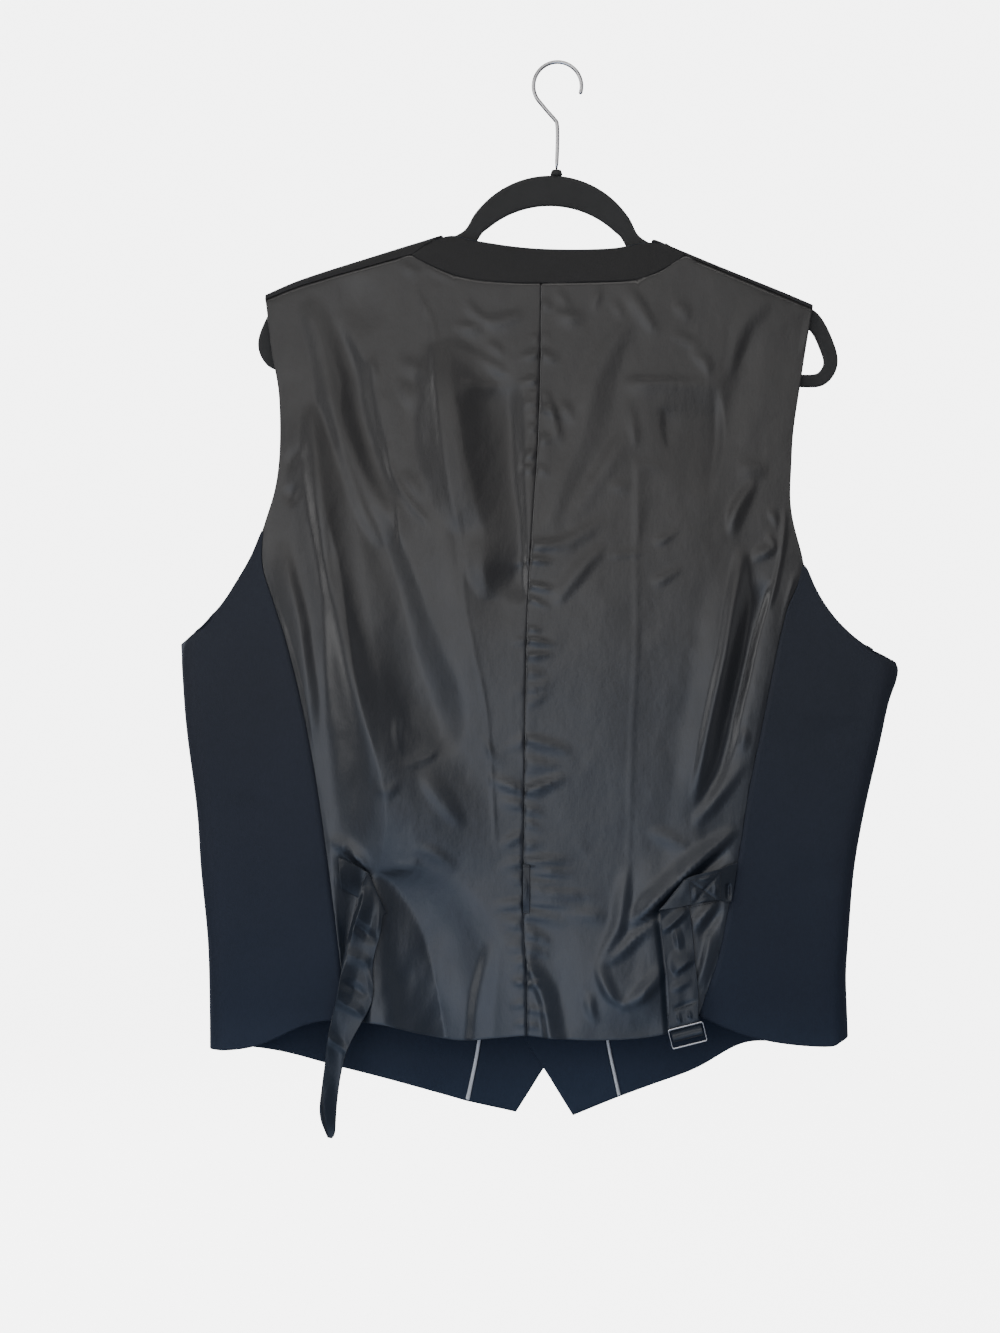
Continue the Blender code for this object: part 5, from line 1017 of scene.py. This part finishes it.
def stitch_line(trees, route, toward, pitch=2.4, length=1.9, stagger=0.0):
    """Stitches along a route of (x, z) in mm, laid on the cloths that look along toward."""
    route = np.array(route, float)
    steps = np.hypot(*np.diff(route, axis=0).T)
    total = steps.sum()
    marks = np.concatenate([[0.0], np.cumsum(steps)])
    toward = Vector((0.0, toward, 0.0))

    def ground(distance):
        x = np.interp(distance, marks, route[:, 0]) * MM
        z = np.interp(distance, marks, route[:, 1]) * MM
        hits = [tree.ray_cast(Vector((x, 0.0, z)) + toward * 0.2, -toward) for tree in trees]
        hits = [hit for hit in hits if hit[0] is not None]
        return min(hits, key=lambda hit: hit[3])[:2] if hits else (None, None)

    made = []
    distance = stagger
    while distance + length <= total:
        (start, out), (end, _) = ground(distance), ground(distance + length)
        if start is not None and end is not None and (start - end).length < 1.6 * length * MM:
            made.append((start, end, out))
        distance += pitch
    return made


def surface_tree(obj):
    graph = bpy.context.evaluated_depsgraph_get()
    return BVHTree.FromObject(obj, graph)


# ---------------------------------------------------------------- settings

def colour_setting(name, description, default):
    return bpy.props.FloatVectorProperty(name=name, description=description, subtype="COLOR", size=3,
                                         min=0.0, max=1.0, default=default)


def share_setting(name, description, default):
    return bpy.props.FloatProperty(name=name, description=description, subtype="FACTOR",
                                   min=0.0, max=1.0, default=default)


def length_setting(name, description, default, low, high, digits):
    return bpy.props.FloatProperty(name=name, description=description, unit="LENGTH",
                                   min=low, max=high, default=default, precision=digits)


class WaistcoatCloth(bpy.types.PropertyGroup):
    """Sizes and colours of the cloth and trim; the satin's and wool's colours by height hold painted light."""
    # Satin at the shoulders, its colour holding the painted warmer light from above
    satin_shoulder_lit_colour: colour_setting(
        "Satin", "Colour of the satin back at the shoulders", (0.0140, 0.0138, 0.0145))
    # Satin at the waist and on the straps, painted bluer as under cool light from below
    satin_waist_cool_lit_colour: colour_setting(
        "Low satin", "Colour of the satin at the waist and on the straps", (0.0125, 0.0205, 0.034))
    satin_roughness: share_setting("Satin roughness", "How soft the satin's gloss is", 0.38)
    satin_gloss: share_setting("Satin gloss", "How strong the satin's gloss is", 0.65)
    strap_gloss: share_setting("Strap gloss", "How strong the straps' gloss is", 0.47)
    satin_grain: length_setting(
        "Satin grain", "Depth of the satin's threads", 0.00002, 0.0, 0.001, 5)
    satin_wall: length_setting(
        "Satin thickness", "Thickness of the satin", 0.0012, 0.0005, 0.003, 4)
    strap_wall: length_setting(
        "Strap thickness", "Thickness of the straps", 0.001, 0.0005, 0.003, 4)
    wool_colour: colour_setting(
        "Wool", "Colour of the wool fronts under the arms", (0.021, 0.0255, 0.037))
    # Wool at the waist, painted bluer as under cool light from below
    wool_waist_cool_lit_colour: colour_setting(
        "Low wool", "Colour of the wool at the waist", (0.0128, 0.0205, 0.0395))
    # Wool and facing at the front points, painted lighter and bluer where the satin hem shades them
    wool_hem_painted_light_colour: colour_setting(
        "Wool at the hem", "Colour of the wool and its facing at the front points", (0.0225, 0.0365, 0.067))
    # Neck band and the tops of the fronts: the navy wool painted neutral grey, as under warmer light from above
    top_wool_painted_neutral_colour: colour_setting("Neck band", "Colour of the neck band", (0.027, 0.0265, 0.026))
    wool_nap: share_setting("Wool nap", "How much light the wool's nap catches", 0.1)
    wool_grain: length_setting("Wool grain", "Depth of the wool's twill", 0.00006, 0.0, 0.001, 5)
    wool_wall: length_setting(
        "Wool thickness", "Thickness of the wool with its facing", 0.002, 0.0005, 0.003, 4)
    piping_colour: colour_setting("Piping", "Colour of the piping", (0.8, 0.83, 0.88))
    metal_colour: colour_setting("Metal", "Colour of the hook and slider", (0.6, 0.6, 0.62))
    thread_colour: colour_setting("Thread", "Colour of the sewing thread", (0.02, 0.024, 0.032))
    fold_rounds: bpy.props.IntProperty(
        name="Evening rounds", description="How broad the solid's folds are that the satin keeps",
        min=0, max=400, default=90)
    fold_evening: share_setting(
        "Evening", "Share of the solid's narrow folds that the satin's own take the place of", 0.75)
    fold_depth: bpy.props.FloatProperty(
        name="Fold depth", description="Share of the full depth of the folds", subtype="FACTOR",
        min=0.0, max=2.0, default=1.0)


class WaistcoatStage(bpy.types.PropertyGroup):
    """The stage round the waistcoat."""
    camera_distance: bpy.props.FloatProperty(
        name="Camera distance", description="Distance from the camera to the hanger", unit="LENGTH",
        min=0.5, max=10.0, default=1.8)
    frame_height: bpy.props.FloatProperty(
        name="Frame height", description="Height of the view at the hanger", unit="LENGTH",
        min=0.2, max=5.0, default=1.0224)
    floor_colour: colour_setting("Floor", "Colour of the floor", (0.8, 0.8, 0.8))
    light: bpy.props.FloatProperty(
        name="Light", description="Strength of the soft lights", min=0.0, max=10.0, default=1.0)


# ---------------------------------------------------------------- pieces

def put_on(obj, slot, *nodes):
    """Rides a piece on the one body, with the nodes it stands for. Its slot is not used."""
    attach(obj, "root")
    if nodes:
        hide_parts(*nodes)
    return obj


class WAISTCOAT_OT_backs(bpy.types.Operator):
    """Two halves of the satin back, with the folds they hang in"""
    bl_idname = "waistcoat.backs"
    bl_label = "Satin back"

    def execute(self, context):
        cloth = context.scene.waistcoat_cloth
        finish = satin_finish("satin", cloth, cloth.satin_gloss)
        halves = {side: smooth_cloth("back_" + side, (0.0, 1.0, 0.0), cloth.satin_wall, 3)
                  for side in ("left", "right")}
        seam_line = halves["left"][0][sewn_to(halves["left"], "back_right") > 0]
        seam_line = seam_line[np.argsort(seam_line[:, 2])]
        folds = (*BACK_FOLDS, *pucker_folds(seam_line[:, [0, 2]] / MM))
        hanger = tree_of("hanger_body")
        straps = [tree_of(node) for node in ("strap_left", "strap_right", "keeper_loop")]
        cuts = (("right", (0.213, 0.600), 0.1026), ("left", (0.222, 0.598), 0.1048))
        for (side, surface), (other, flat, area) in zip(halves.items(), cuts):
            points = surface[0]
            middle = sewn_to(surface, "back_" + other)
            sides = sewn_to(surface, "front_" + side, "neck_band")
            from_seam = points[:, 0] - np.interp(points[:, 2], seam_line[:, 2], seam_line[:, 0])
            close = 1 - smooth_step(0.0, SEAM_CROWD_REACH, np.abs(from_seam))
            points[:, 0] -= from_seam * SEAM_CROWD * close * (middle == 0)
            from_middle = away_from(points, middle, 1.4 * MM)
            from_sides = away_from(points, sides, 4.0 * MM)
            x, z = points[:, 0] / MM, points[:, 2] / MM
            rise = fold_height(x, z, folds)
            rise += 0.4 * uneven(x, z, (34.0, 46.0), 3) + 0.08 * uneven(x, z, (9.0, 13.0), 8)
            rise *= cloth.fold_depth * from_middle * from_sides
            rise -= 0.45 * (1 - from_middle) + 0.3 * (1 - from_sides)
            rim = np.zeros(len(points))
            rim[np.unique(rim_of(surface[1]))] = 1.0
            relief = (points[:, 1] - evened(points[:, 1], surface[1], cloth.fold_rounds)) / MM
            rise -= cloth.fold_evening * relief * away_from(points, rim, 20.0 * MM)
            least = resting_lift(points, hanger, cloth.satin_wall)
            rise -= spread(np.maximum(rise - room_under(points, straps), 0.0), surface[1])
            rise += spread(np.maximum(least - rise, 0.0), surface[1])
            piece = cloth_wall("back_" + side + "_cloth", surface, along_y(rise), cloth.satin_wall, finish,
                               np.maximum(middle, sides))
            put_on(piece, "satin", "back_" + side)
        return {"FINISHED"}


class WAISTCOAT_OT_fronts(bpy.types.Operator):
    """Two wool fronts, over the shoulders and round the sides, with facing and piping"""
    bl_idname = "waistcoat.fronts"
    bl_label = "Wool fronts"

    def execute(self, context):
        cloth = context.scene.waistcoat_cloth
        # Painted light by height: neutral grey at the shoulders, navy under the arms, bluer towards the waist,
        # and lighter at the front points where the satin hem shades them
        finish = wool_finish("wool", cloth, (
            (-0.80, cloth.wool_hem_painted_light_colour), (-0.72, cloth.wool_waist_cool_lit_colour), (-0.48, cloth.wool_colour),
            (-0.34, cloth.wool_colour), (-0.15, cloth.top_wool_painted_neutral_colour)))
        for side, area in (("left", 0.187), ("right", 0.171)):
            surface = smooth_cloth("front_" + side, (0.0, -1.0, 0.0), cloth.wool_wall, 3)
            points = surface[0]
            sewn = sewn_to(surface, "back_left", "back_right", "neck_band")
            x, z = points[:, 0] / MM, points[:, 2] / MM
            facing = normals_of(*surface)[:, 1]
            back = fold_height(x, z, PANEL_FOLDS) + 0.25 * uneven(x, z, (26.0, 40.0), 4)
            back *= away_from(points, sewn, 6.0 * MM) * smooth_step(0.3, 0.9, facing)
            lift = back - front_lift(points) * smooth_step(0.3, 0.9, -facing)
            piece = cloth_wall("front_" + side + "_cloth", surface, along_y(lift), cloth.wool_wall, finish,
                               sewn)
            put_on(piece, "wool", "front_" + side)
        # The facing carries the same painted light: bluer at the waist and lighter at the front points where
        # the satin hem shades it
        lining = wool_finish("facing_wool", cloth, (
            (-0.80, cloth.wool_hem_painted_light_colour), (-0.72, cloth.wool_waist_cool_lit_colour)))
        piping = piping_finish("piping", cloth)
        for side, flat, area in (("left", (0.076, 0.362), 0.0216), ("right", (0.074, 0.349), 0.0200)):
            surface = smooth_cloth("piping_" + side, (0.0, 1.0, 0.0), 1.4 * MM, 3)
            rim = np.zeros(len(surface[0]))
            rim[np.unique(rim_of(surface[1]))] = 1.0
            crown = 0.7 * away_from(surface[0], rim, 1.3 * MM) - 0.35
            edge = cloth_wall("piping_" + side + "_cloth", surface, along_y(crown - front_lift(surface[0])),
                              1.2 * MM, piping)
            put_on(edge, "piping", "piping_" + side)
            surface = smooth_cloth("facing_" + side, (0.0, 1.0, 0.0), 1.0 * MM, 3)
            piece = cloth_wall("facing_" + side + "_cloth", surface, along_y(-front_lift(surface[0])),
                               1.0 * MM, lining)
            put_on(piece, "wool", "facing_" + side)
        return {"FINISHED"}


class WAISTCOAT_OT_neck_band(bpy.types.Operator):
    """Wool band round the back of the neck"""
    bl_idname = "waistcoat.neck_band"
    bl_label = "Neck band"

    def execute(self, context):
        cloth = context.scene.waistcoat_cloth
        surface = smooth_cloth("neck_band", (0.0, 1.0, 0.0), cloth.wool_wall, 4)
        sewn = sewn_to(surface, "back_left", "back_right", "front_left", "front_right")
        x, z = surface[0][:, 0] / MM, surface[0][:, 2] / MM
        rise = 0.3 * uneven(x, z, (22.0, 14.0), 6) - 0.1 * (1 - away_from(surface[0], sewn, 2.5 * MM))
        # The band's wool is painted neutral grey, as under warmer light from above
        finish = wool_finish("band_wool", cloth, ((-0.3, cloth.top_wool_painted_neutral_colour), (-0.2, cloth.top_wool_painted_neutral_colour)))
        piece = cloth_wall("neck_band_cloth", surface, along_y(rise), cloth.wool_wall, finish, sewn,
                           seam_reach=BAND_REACH)
        put_on(piece, "wool", "neck_band")
        return {"FINISHED"}


class WAISTCOAT_OT_straps(bpy.types.Operator):
    """Two halves of the back strap and the keeper loop, with their stitches"""
    bl_idname = "waistcoat.straps"
    bl_label = "Back straps"

    def execute(self, context):
        cloth = context.scene.waistcoat_cloth
        finish = satin_finish("strap_satin", cloth, cloth.strap_gloss)
        thread = thread_finish("strap_thread", cloth.thread_colour)
        pieces = {}
        for node, length, folds, on_it in (
            ("keeper_loop", 0.0, KEEPER_FOLDS, []),
            ("strap_left", 0.223, STRAP_LEFT_FOLDS, ["keeper_loop_cloth"]),
            ("strap_right", 0.182, STRAP_RIGHT_FOLDS, []),
        ):
            surface = smooth_cloth(node, (0.0, 1.0, 0.0), cloth.strap_wall, 4)
            points = surface[0]
            x, z = points[:, 0] / MM, points[:, 2] / MM
            rise = fold_height(x, z, folds) + 0.25 * uneven(x, z, (6.0, 9.0), 7)
            rise *= smooth_step(0.1, 0.5, np.abs(normals_of(*surface)[:, 1]))
            piece = cloth_wall(node + "_cloth", surface, along_y(rise), cloth.strap_wall, finish)
            put_on(piece, "satin", node)
            pieces[node] = surface_tree(piece)
        made = []
        backs = [surface_tree(bpy.data.objects[name]) for name in ("back_left_cloth", "back_right_cloth")]
        for node, pitch, length, route in STRAP_STITCHES:
            made += stitch_line([pieces[node], *backs], route, 1.0, pitch, length)
        points, faces = capsules(made, 0.22 * MM)
        put_on(mesh_piece("strap_stitches", points, faces, thread), "satin")
        return {"FINISHED"}


class WAISTCOAT_OT_slider(bpy.types.Operator):
    """Slim metal frame that the strap runs through"""
    bl_idname = "waistcoat.slider"
    bl_label = "Slider"

    def execute(self, context):
        cloth = context.scene.waistcoat_cloth
        corners = np.array([vert.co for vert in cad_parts["strap_slider"].data.vertices])
        middle = corners.mean(axis=0)
        _, _, axes = np.linalg.svd(corners - middle)
        along, down, out = axes
        along = along * np.sign(along[0])
        down = down * -np.sign(down[2])
        out = np.cross(along, down)
        half = np.abs((corners - middle) @ axes.T).max(axis=0)
        bar = 0.7 * MM
        thin = 0.6
        corner = 1.2 * MM
        route = []
        for turn in range(4):
            angle = math.pi / 2 * turn
            cx, cy = ((1, 1), (-1, 1), (-1, -1), (1, -1))[turn]
            for k in range(5):
                a = angle + math.pi / 8 * k
                route.append((cx * (half[0] - bar - corner) + corner * math.cos(a),
                              cy * (half[1] - bar - corner) + corner * math.sin(a)))
        points, faces = [], []
        count = len(route)
        for k in range(count):
            before, here, after = (np.array(route[(k + d) % count]) for d in (-1, 0, 1))
            way = (after - before) / np.linalg.norm(after - before)
            side = np.array((way[1], -way[0]))
            size = bar * (1 - (1 - thin) * side[0] ** 2)
            for s in range(8):
                a = math.tau * s / 8 + math.tau / 16
                flat = here + side * size * math.cos(a)
                points.append(middle + along * flat[0] + down * flat[1] + out * bar * 0.9 * math.sin(a))
            n = (k + 1) % count
            for s in range(8):
                t = (s + 1) % 8
                faces.append((8 * k + s, 8 * k + t, 8 * n + t, 8 * n + s))
        finish = metal_finish("gunmetal", cloth.metal_colour, 0.25)
        piece = mesh_piece("strap_slider_frame", points, faces, finish)
        put_on(piece, "gunmetal", "strap_slider")
        return {"FINISHED"}


class WAISTCOAT_OT_buttons(bpy.types.Operator):
    """Five four-hole buttons, their thread and their buttonholes"""
    bl_idname = "waistcoat.buttons"
    bl_label = "Buttons"

    def execute(self, context):
        cloth = context.scene.waistcoat_cloth
        horn = horn_finish("horn", (0.006, 0.0065, 0.009))
        thread = thread_finish("button_thread", cloth.thread_colour)
        front = surface_tree(bpy.data.objects["front_left_cloth"])
        stitches = []
        for number in range(1, 6):
            node = f"button_{number}"
            low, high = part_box(node)
            middle = (low + high) / 2
            radius = (high.x - low.x) / 2
            depth = high.y - low.y
            lathe = bmesh.new()
            rings = []
            for share, stand in BUTTON_PROFILE:
                turns = [math.tau * k / BUTTON_SIDES for k in range(BUTTON_SIDES)]
                rings.append([lathe.verts.new((radius * share * math.cos(turn), -depth * stand,
                                               radius * share * math.sin(turn))) for turn in turns])
            for inner, outer in zip(rings, rings[1:]):
                for k in range(BUTTON_SIDES):
                    n = (k + 1) % BUTTON_SIDES
                    lathe.faces.new((inner[k], inner[n], outer[n], outer[k]))
            lathe.faces.new(list(reversed(rings[0])))
            lathe.faces.new(rings[-1])
            bmesh.ops.recalc_face_normals(lathe, faces=lathe.faces[:])
            mesh = bpy.data.meshes.new(node + "_turned")
            lathe.to_mesh(mesh)
            lathe.free()
            piece = bpy.data.objects.new(node + "_turned", mesh)
            context.scene.collection.objects.link(piece)
            holes = bmesh.new()
            spots = [(sx * BUTTON_HOLE_STEP, sz * BUTTON_HOLE_STEP) for sx in (-1, 1) for sz in (-1, 1)]
            for x, z in spots:
                place = Matrix.Translation((x, 0.0, z)) @ Matrix.Rotation(math.pi / 2, 4, "X")
                bmesh.ops.create_cone(holes, cap_ends=True, segments=14, radius1=BUTTON_HOLE,
                                      radius2=BUTTON_HOLE, depth=8 * MM, matrix=place)
            cutter = bpy.data.objects.new("cutter", bpy.data.meshes.new("cutter"))
            holes.to_mesh(cutter.data)
            holes.free()
            context.scene.collection.objects.link(cutter)
            cut = piece.modifiers.new("holes", "BOOLEAN")
            cut.object = cutter
            cut.operation = "DIFFERENCE"
            cut.solver = "EXACT"
            made = bpy.data.meshes.new_from_object(piece.evaluated_get(context.evaluated_depsgraph_get()))
            piece.modifiers.clear()
            piece.data = made
            bpy.data.objects.remove(cutter)
            made.materials.clear()
            made.materials.append(horn)
            made.shade_smooth()
            made.set_sharp_from_angle(angle=math.radians(35.0))
            piece.location = (middle.x, high.y, middle.z)
            put_on(piece, "horn", node)
            top = high.y - depth * 0.78
            out = (0.0, -1.0, 0.0)
            for x in (-BUTTON_HOLE_STEP, BUTTON_HOLE_STEP):
                for shift in (-BUTTON_THREAD_SHIFT, 0.0, BUTTON_THREAD_SHIFT):
                    stitches.append(((middle.x + x + shift, top, middle.z - BUTTON_HOLE_STEP),
                                     (middle.x + x + shift, top, middle.z + BUTTON_HOLE_STEP), out))
            for z in (-BUTTONHOLE_HALF, BUTTONHOLE_HALF):
                for k in range(BUTTONHOLE_STITCHES):
                    first, last = BUTTONHOLE_REACH
                    x = middle.x / MM + first + (last - first) * k / (BUTTONHOLE_STITCHES - 1)
                    height = middle.z / MM + z
                    base = [(x, height - BUTTONHOLE_STITCH), (x, height + BUTTONHOLE_STITCH)]
                    stitches += stitch_line([front], base, -1.0, 2.0, 1.5)
        points, faces = capsules(stitches, 0.3 * MM)
        put_on(mesh_piece("button_threads", points, faces, thread), "wool")
        return {"FINISHED"}


class WAISTCOAT_OT_hanger(bpy.types.Operator):
    """Flocked hanger with its collar and wire hook"""
    bl_idname = "waistcoat.hanger"
    bl_label = "Hanger"

    def execute(self, context):
        cloth = context.scene.waistcoat_cloth
        flock = flock_finish("velvet", (0.045, 0.0455, 0.0455))
        low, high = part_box("hanger_body")
        plate = high.y - low.y
        surface = smooth_cloth("hanger_body", (0.0, 1.0, 0.0), plate, 3, 0.97)
        piece = cloth_wall("hanger_body_flock", surface, np.zeros_like(surface[0]), plate, flock,
                           edge=PLATE_EDGE)
        put_on(piece, "velvet", "hanger_body")

        low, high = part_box("hanger_collar")
        middle = (low + high) / 2
        radius = (high.x - low.x) / 2
        height = high.z - low.z
        points, faces, turns = [], [], 32
        for share, rise in COLLAR_PROFILE:
            points += [(middle.x + radius * share * math.cos(math.tau * k / turns),
                        radius * share * math.sin(math.tau * k / turns), low.z + height * rise)
                       for k in range(turns)]
        faces += ring_faces(len(COLLAR_PROFILE), turns)
        faces.append(tuple(reversed(range(turns))))
        faces.append(tuple((len(COLLAR_PROFILE) - 1) * turns + k for k in range(turns)))
        put_on(mesh_piece("hanger_collar_turned", points, faces, flock), "velvet", "hanger_collar")

        centre = -(HOOK_RADIUS - HOOK_WIRE)
        start, end = (math.radians(angle) for angle in HOOK_ARC)
        line = [(middle.x, high.z + 0.1 * MM), *[(x * MM, z * MM) for x, z in HOOK_STEM]]
        line += [(HOOK_RADIUS * math.cos(start + (end - start) * k / 24),
                  centre + HOOK_RADIUS * math.sin(start + (end - start) * k / 24)) for k in range(25)]
        line = smooth_rows([(x, z) for x, z in line], 4)
        turns = 14
        points, faces = [], []
        count = len(line)
        sizes = np.ones(count)
        sizes[[0, -1]] = 0.45
        sizes[[1, -2]] = 0.95
        for k in range(count):
            way = line[min(k + 1, count - 1)] - line[max(k - 1, 0)]
            way /= np.linalg.norm(way)
            side = Vector((way[1], 0.0, -way[0]))
            here = Vector((line[k][0], 0.0, line[k][1]))
            for s in range(turns):
                turn = math.tau * s / turns
                spoke = side * math.cos(turn) + Vector((0.0, math.sin(turn), 0.0))
                points.append(here + spoke * HOOK_WIRE * sizes[k])
        for k in range(count - 1):
            faces += [(k * turns + s, (k + 1) * turns + s, (k + 1) * turns + (s + 1) % turns,
                       k * turns + (s + 1) % turns) for s in range(turns)]
        faces.append(tuple(range(turns)))
        faces.append(tuple(reversed([(count - 1) * turns + s for s in range(turns)])))
        wire = metal_finish("chrome", cloth.metal_colour, 0.2)
        put_on(mesh_piece("hanger_hook_wire", points, faces, wire), "chrome", "hanger_hook")
        return {"FINISHED"}


def soft_light(name, place, target, size, glow, colour):
    """Rectangle of light that glows evenly."""
    data = bpy.data.lights.new(name, "AREA")
    data.shape = "RECTANGLE"
    data.size, data.size_y = size
    data.energy = glow * math.pi * size[0] * size[1]
    data.color = colour
    light = bpy.data.objects.new(name, data)
    bpy.context.scene.collection.objects.link(light)
    light.location = place
    light.rotation_euler = (Vector(target) - Vector(place)).to_track_quat("-Z", "Y").to_euler()
    light.visible_camera = False


class WAISTCOAT_OT_stage(bpy.types.Operator):
    """Pale floor, soft lights and the camera"""
    bl_idname = "waistcoat.stage"
    bl_label = "Stage"

    def execute(self, context):
        stage = context.scene.waistcoat_stage
        aim = Vector(VIEW_CENTRE)
        floor_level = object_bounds()[0].z - FLOOR_DROP
        turns = 96
        points, faces = [], []
        for radius, height in floor_profile():
            points += [(aim.x + radius * math.cos(k * math.tau / turns),
                        radius * math.sin(k * math.tau / turns), floor_level + height)
                       for k in range(turns)]
        rows = len(points) // turns
        points.append((aim.x, 0.0, floor_level))
        faces += ring_faces(rows, turns)
        faces += [(len(points) - 1, (k + 1) % turns, k) for k in range(turns)]
        finish = Finish("studio_floor", stage.floor_colour, 0.9, Emission_Color=(1.0, 1.0, 1.0, 1.0),
                        Emission_Strength=5.5)
        floor = mesh_piece("studio_floor", points, faces, finish.material)
        floor.visible_diffuse = False
        floor.visible_glossy = False
        floor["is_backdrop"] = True

        world = bpy.data.worlds.new("studio")
        context.scene.world = world
        world.use_nodes = True
        world.node_tree.nodes["Background"].inputs["Color"].default_value = (0.16, 0.16, 0.175, 1.0)
        for name, turn, lift, distance, size, glow, colour in SOFT_LIGHTS:
            turn, lift = math.radians(turn), math.radians(lift)
            away = Vector((math.cos(lift) * math.sin(turn), math.cos(lift) * math.cos(turn), math.sin(lift)))
            soft_light(name, aim + away * distance, aim, size, glow * stage.light, colour)

        camera = bpy.data.objects.new("camera", bpy.data.cameras.new("camera"))
        context.scene.collection.objects.link(camera)
        camera.data.sensor_fit = "AUTO"
        camera.data.sensor_width = 36.0
        camera.data.lens = 36.0 * stage.camera_distance / stage.frame_height
        camera.location = aim + Vector((0.0, stage.camera_distance, 0.0))
        camera.rotation_euler = (math.radians(90.0), 0.0, math.radians(180.0))
        context.scene.camera = camera
        return {"FINISHED"}


def floor_profile():
    """Radius and height of the floor, which turns up into a round wall."""
    sweep = [math.pi / 16 * k for k in range(9)]
    turn = [(3.2 + 0.9 * math.sin(angle), 0.9 - 0.9 * math.cos(angle)) for angle in sweep]
    return [(1.0, 0.0), (2.0, 0.0), *turn, (4.1, 2.8), (4.1, 4.4)]


class WAISTCOAT_PT_panel(bpy.types.Panel):
    """Lists the waistcoat's pieces and settings"""
    bl_idname = "WAISTCOAT_PT_panel"
    bl_label = "Waistcoat"
    bl_space_type = "VIEW_3D"
    bl_region_type = "UI"
    bl_category = "Waistcoat"

    def draw(self, context):
        for operator in OPERATORS:
            self.layout.operator(operator.bl_idname)
        for group in (context.scene.waistcoat_cloth, context.scene.waistcoat_stage):
            box = self.layout.box()
            for key in group.bl_rna.properties.keys():
                if key not in ("rna_type", "name"):
                    box.prop(group, key)


OPERATORS = (
    WAISTCOAT_OT_backs,
    WAISTCOAT_OT_fronts,
    WAISTCOAT_OT_neck_band,
    WAISTCOAT_OT_straps,
    WAISTCOAT_OT_slider,
    WAISTCOAT_OT_buttons,
    WAISTCOAT_OT_hanger,
    WAISTCOAT_OT_stage,
)
CLASSES = (WaistcoatCloth, WaistcoatStage, *OPERATORS, WAISTCOAT_PT_panel)


def register():
    for item in CLASSES:
        bpy.utils.register_class(item)
    bpy.types.Scene.waistcoat_cloth = bpy.props.PointerProperty(type=WaistcoatCloth)
    bpy.types.Scene.waistcoat_stage = bpy.props.PointerProperty(type=WaistcoatStage)


def unregister():
    del bpy.types.Scene.waistcoat_stage
    del bpy.types.Scene.waistcoat_cloth
    for item in reversed(CLASSES):
        bpy.utils.unregister_class(item)


def main():
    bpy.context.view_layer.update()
    register()
    bpy.ops.waistcoat.backs()
    bpy.ops.waistcoat.fronts()
    bpy.ops.waistcoat.neck_band()
    bpy.ops.waistcoat.straps()
    bpy.ops.waistcoat.slider()
    bpy.ops.waistcoat.buttons()
    bpy.ops.waistcoat.hanger()
    bpy.ops.waistcoat.stage()
    bpy.context.view_layer.update()


if __name__ == "__main__":
    main()
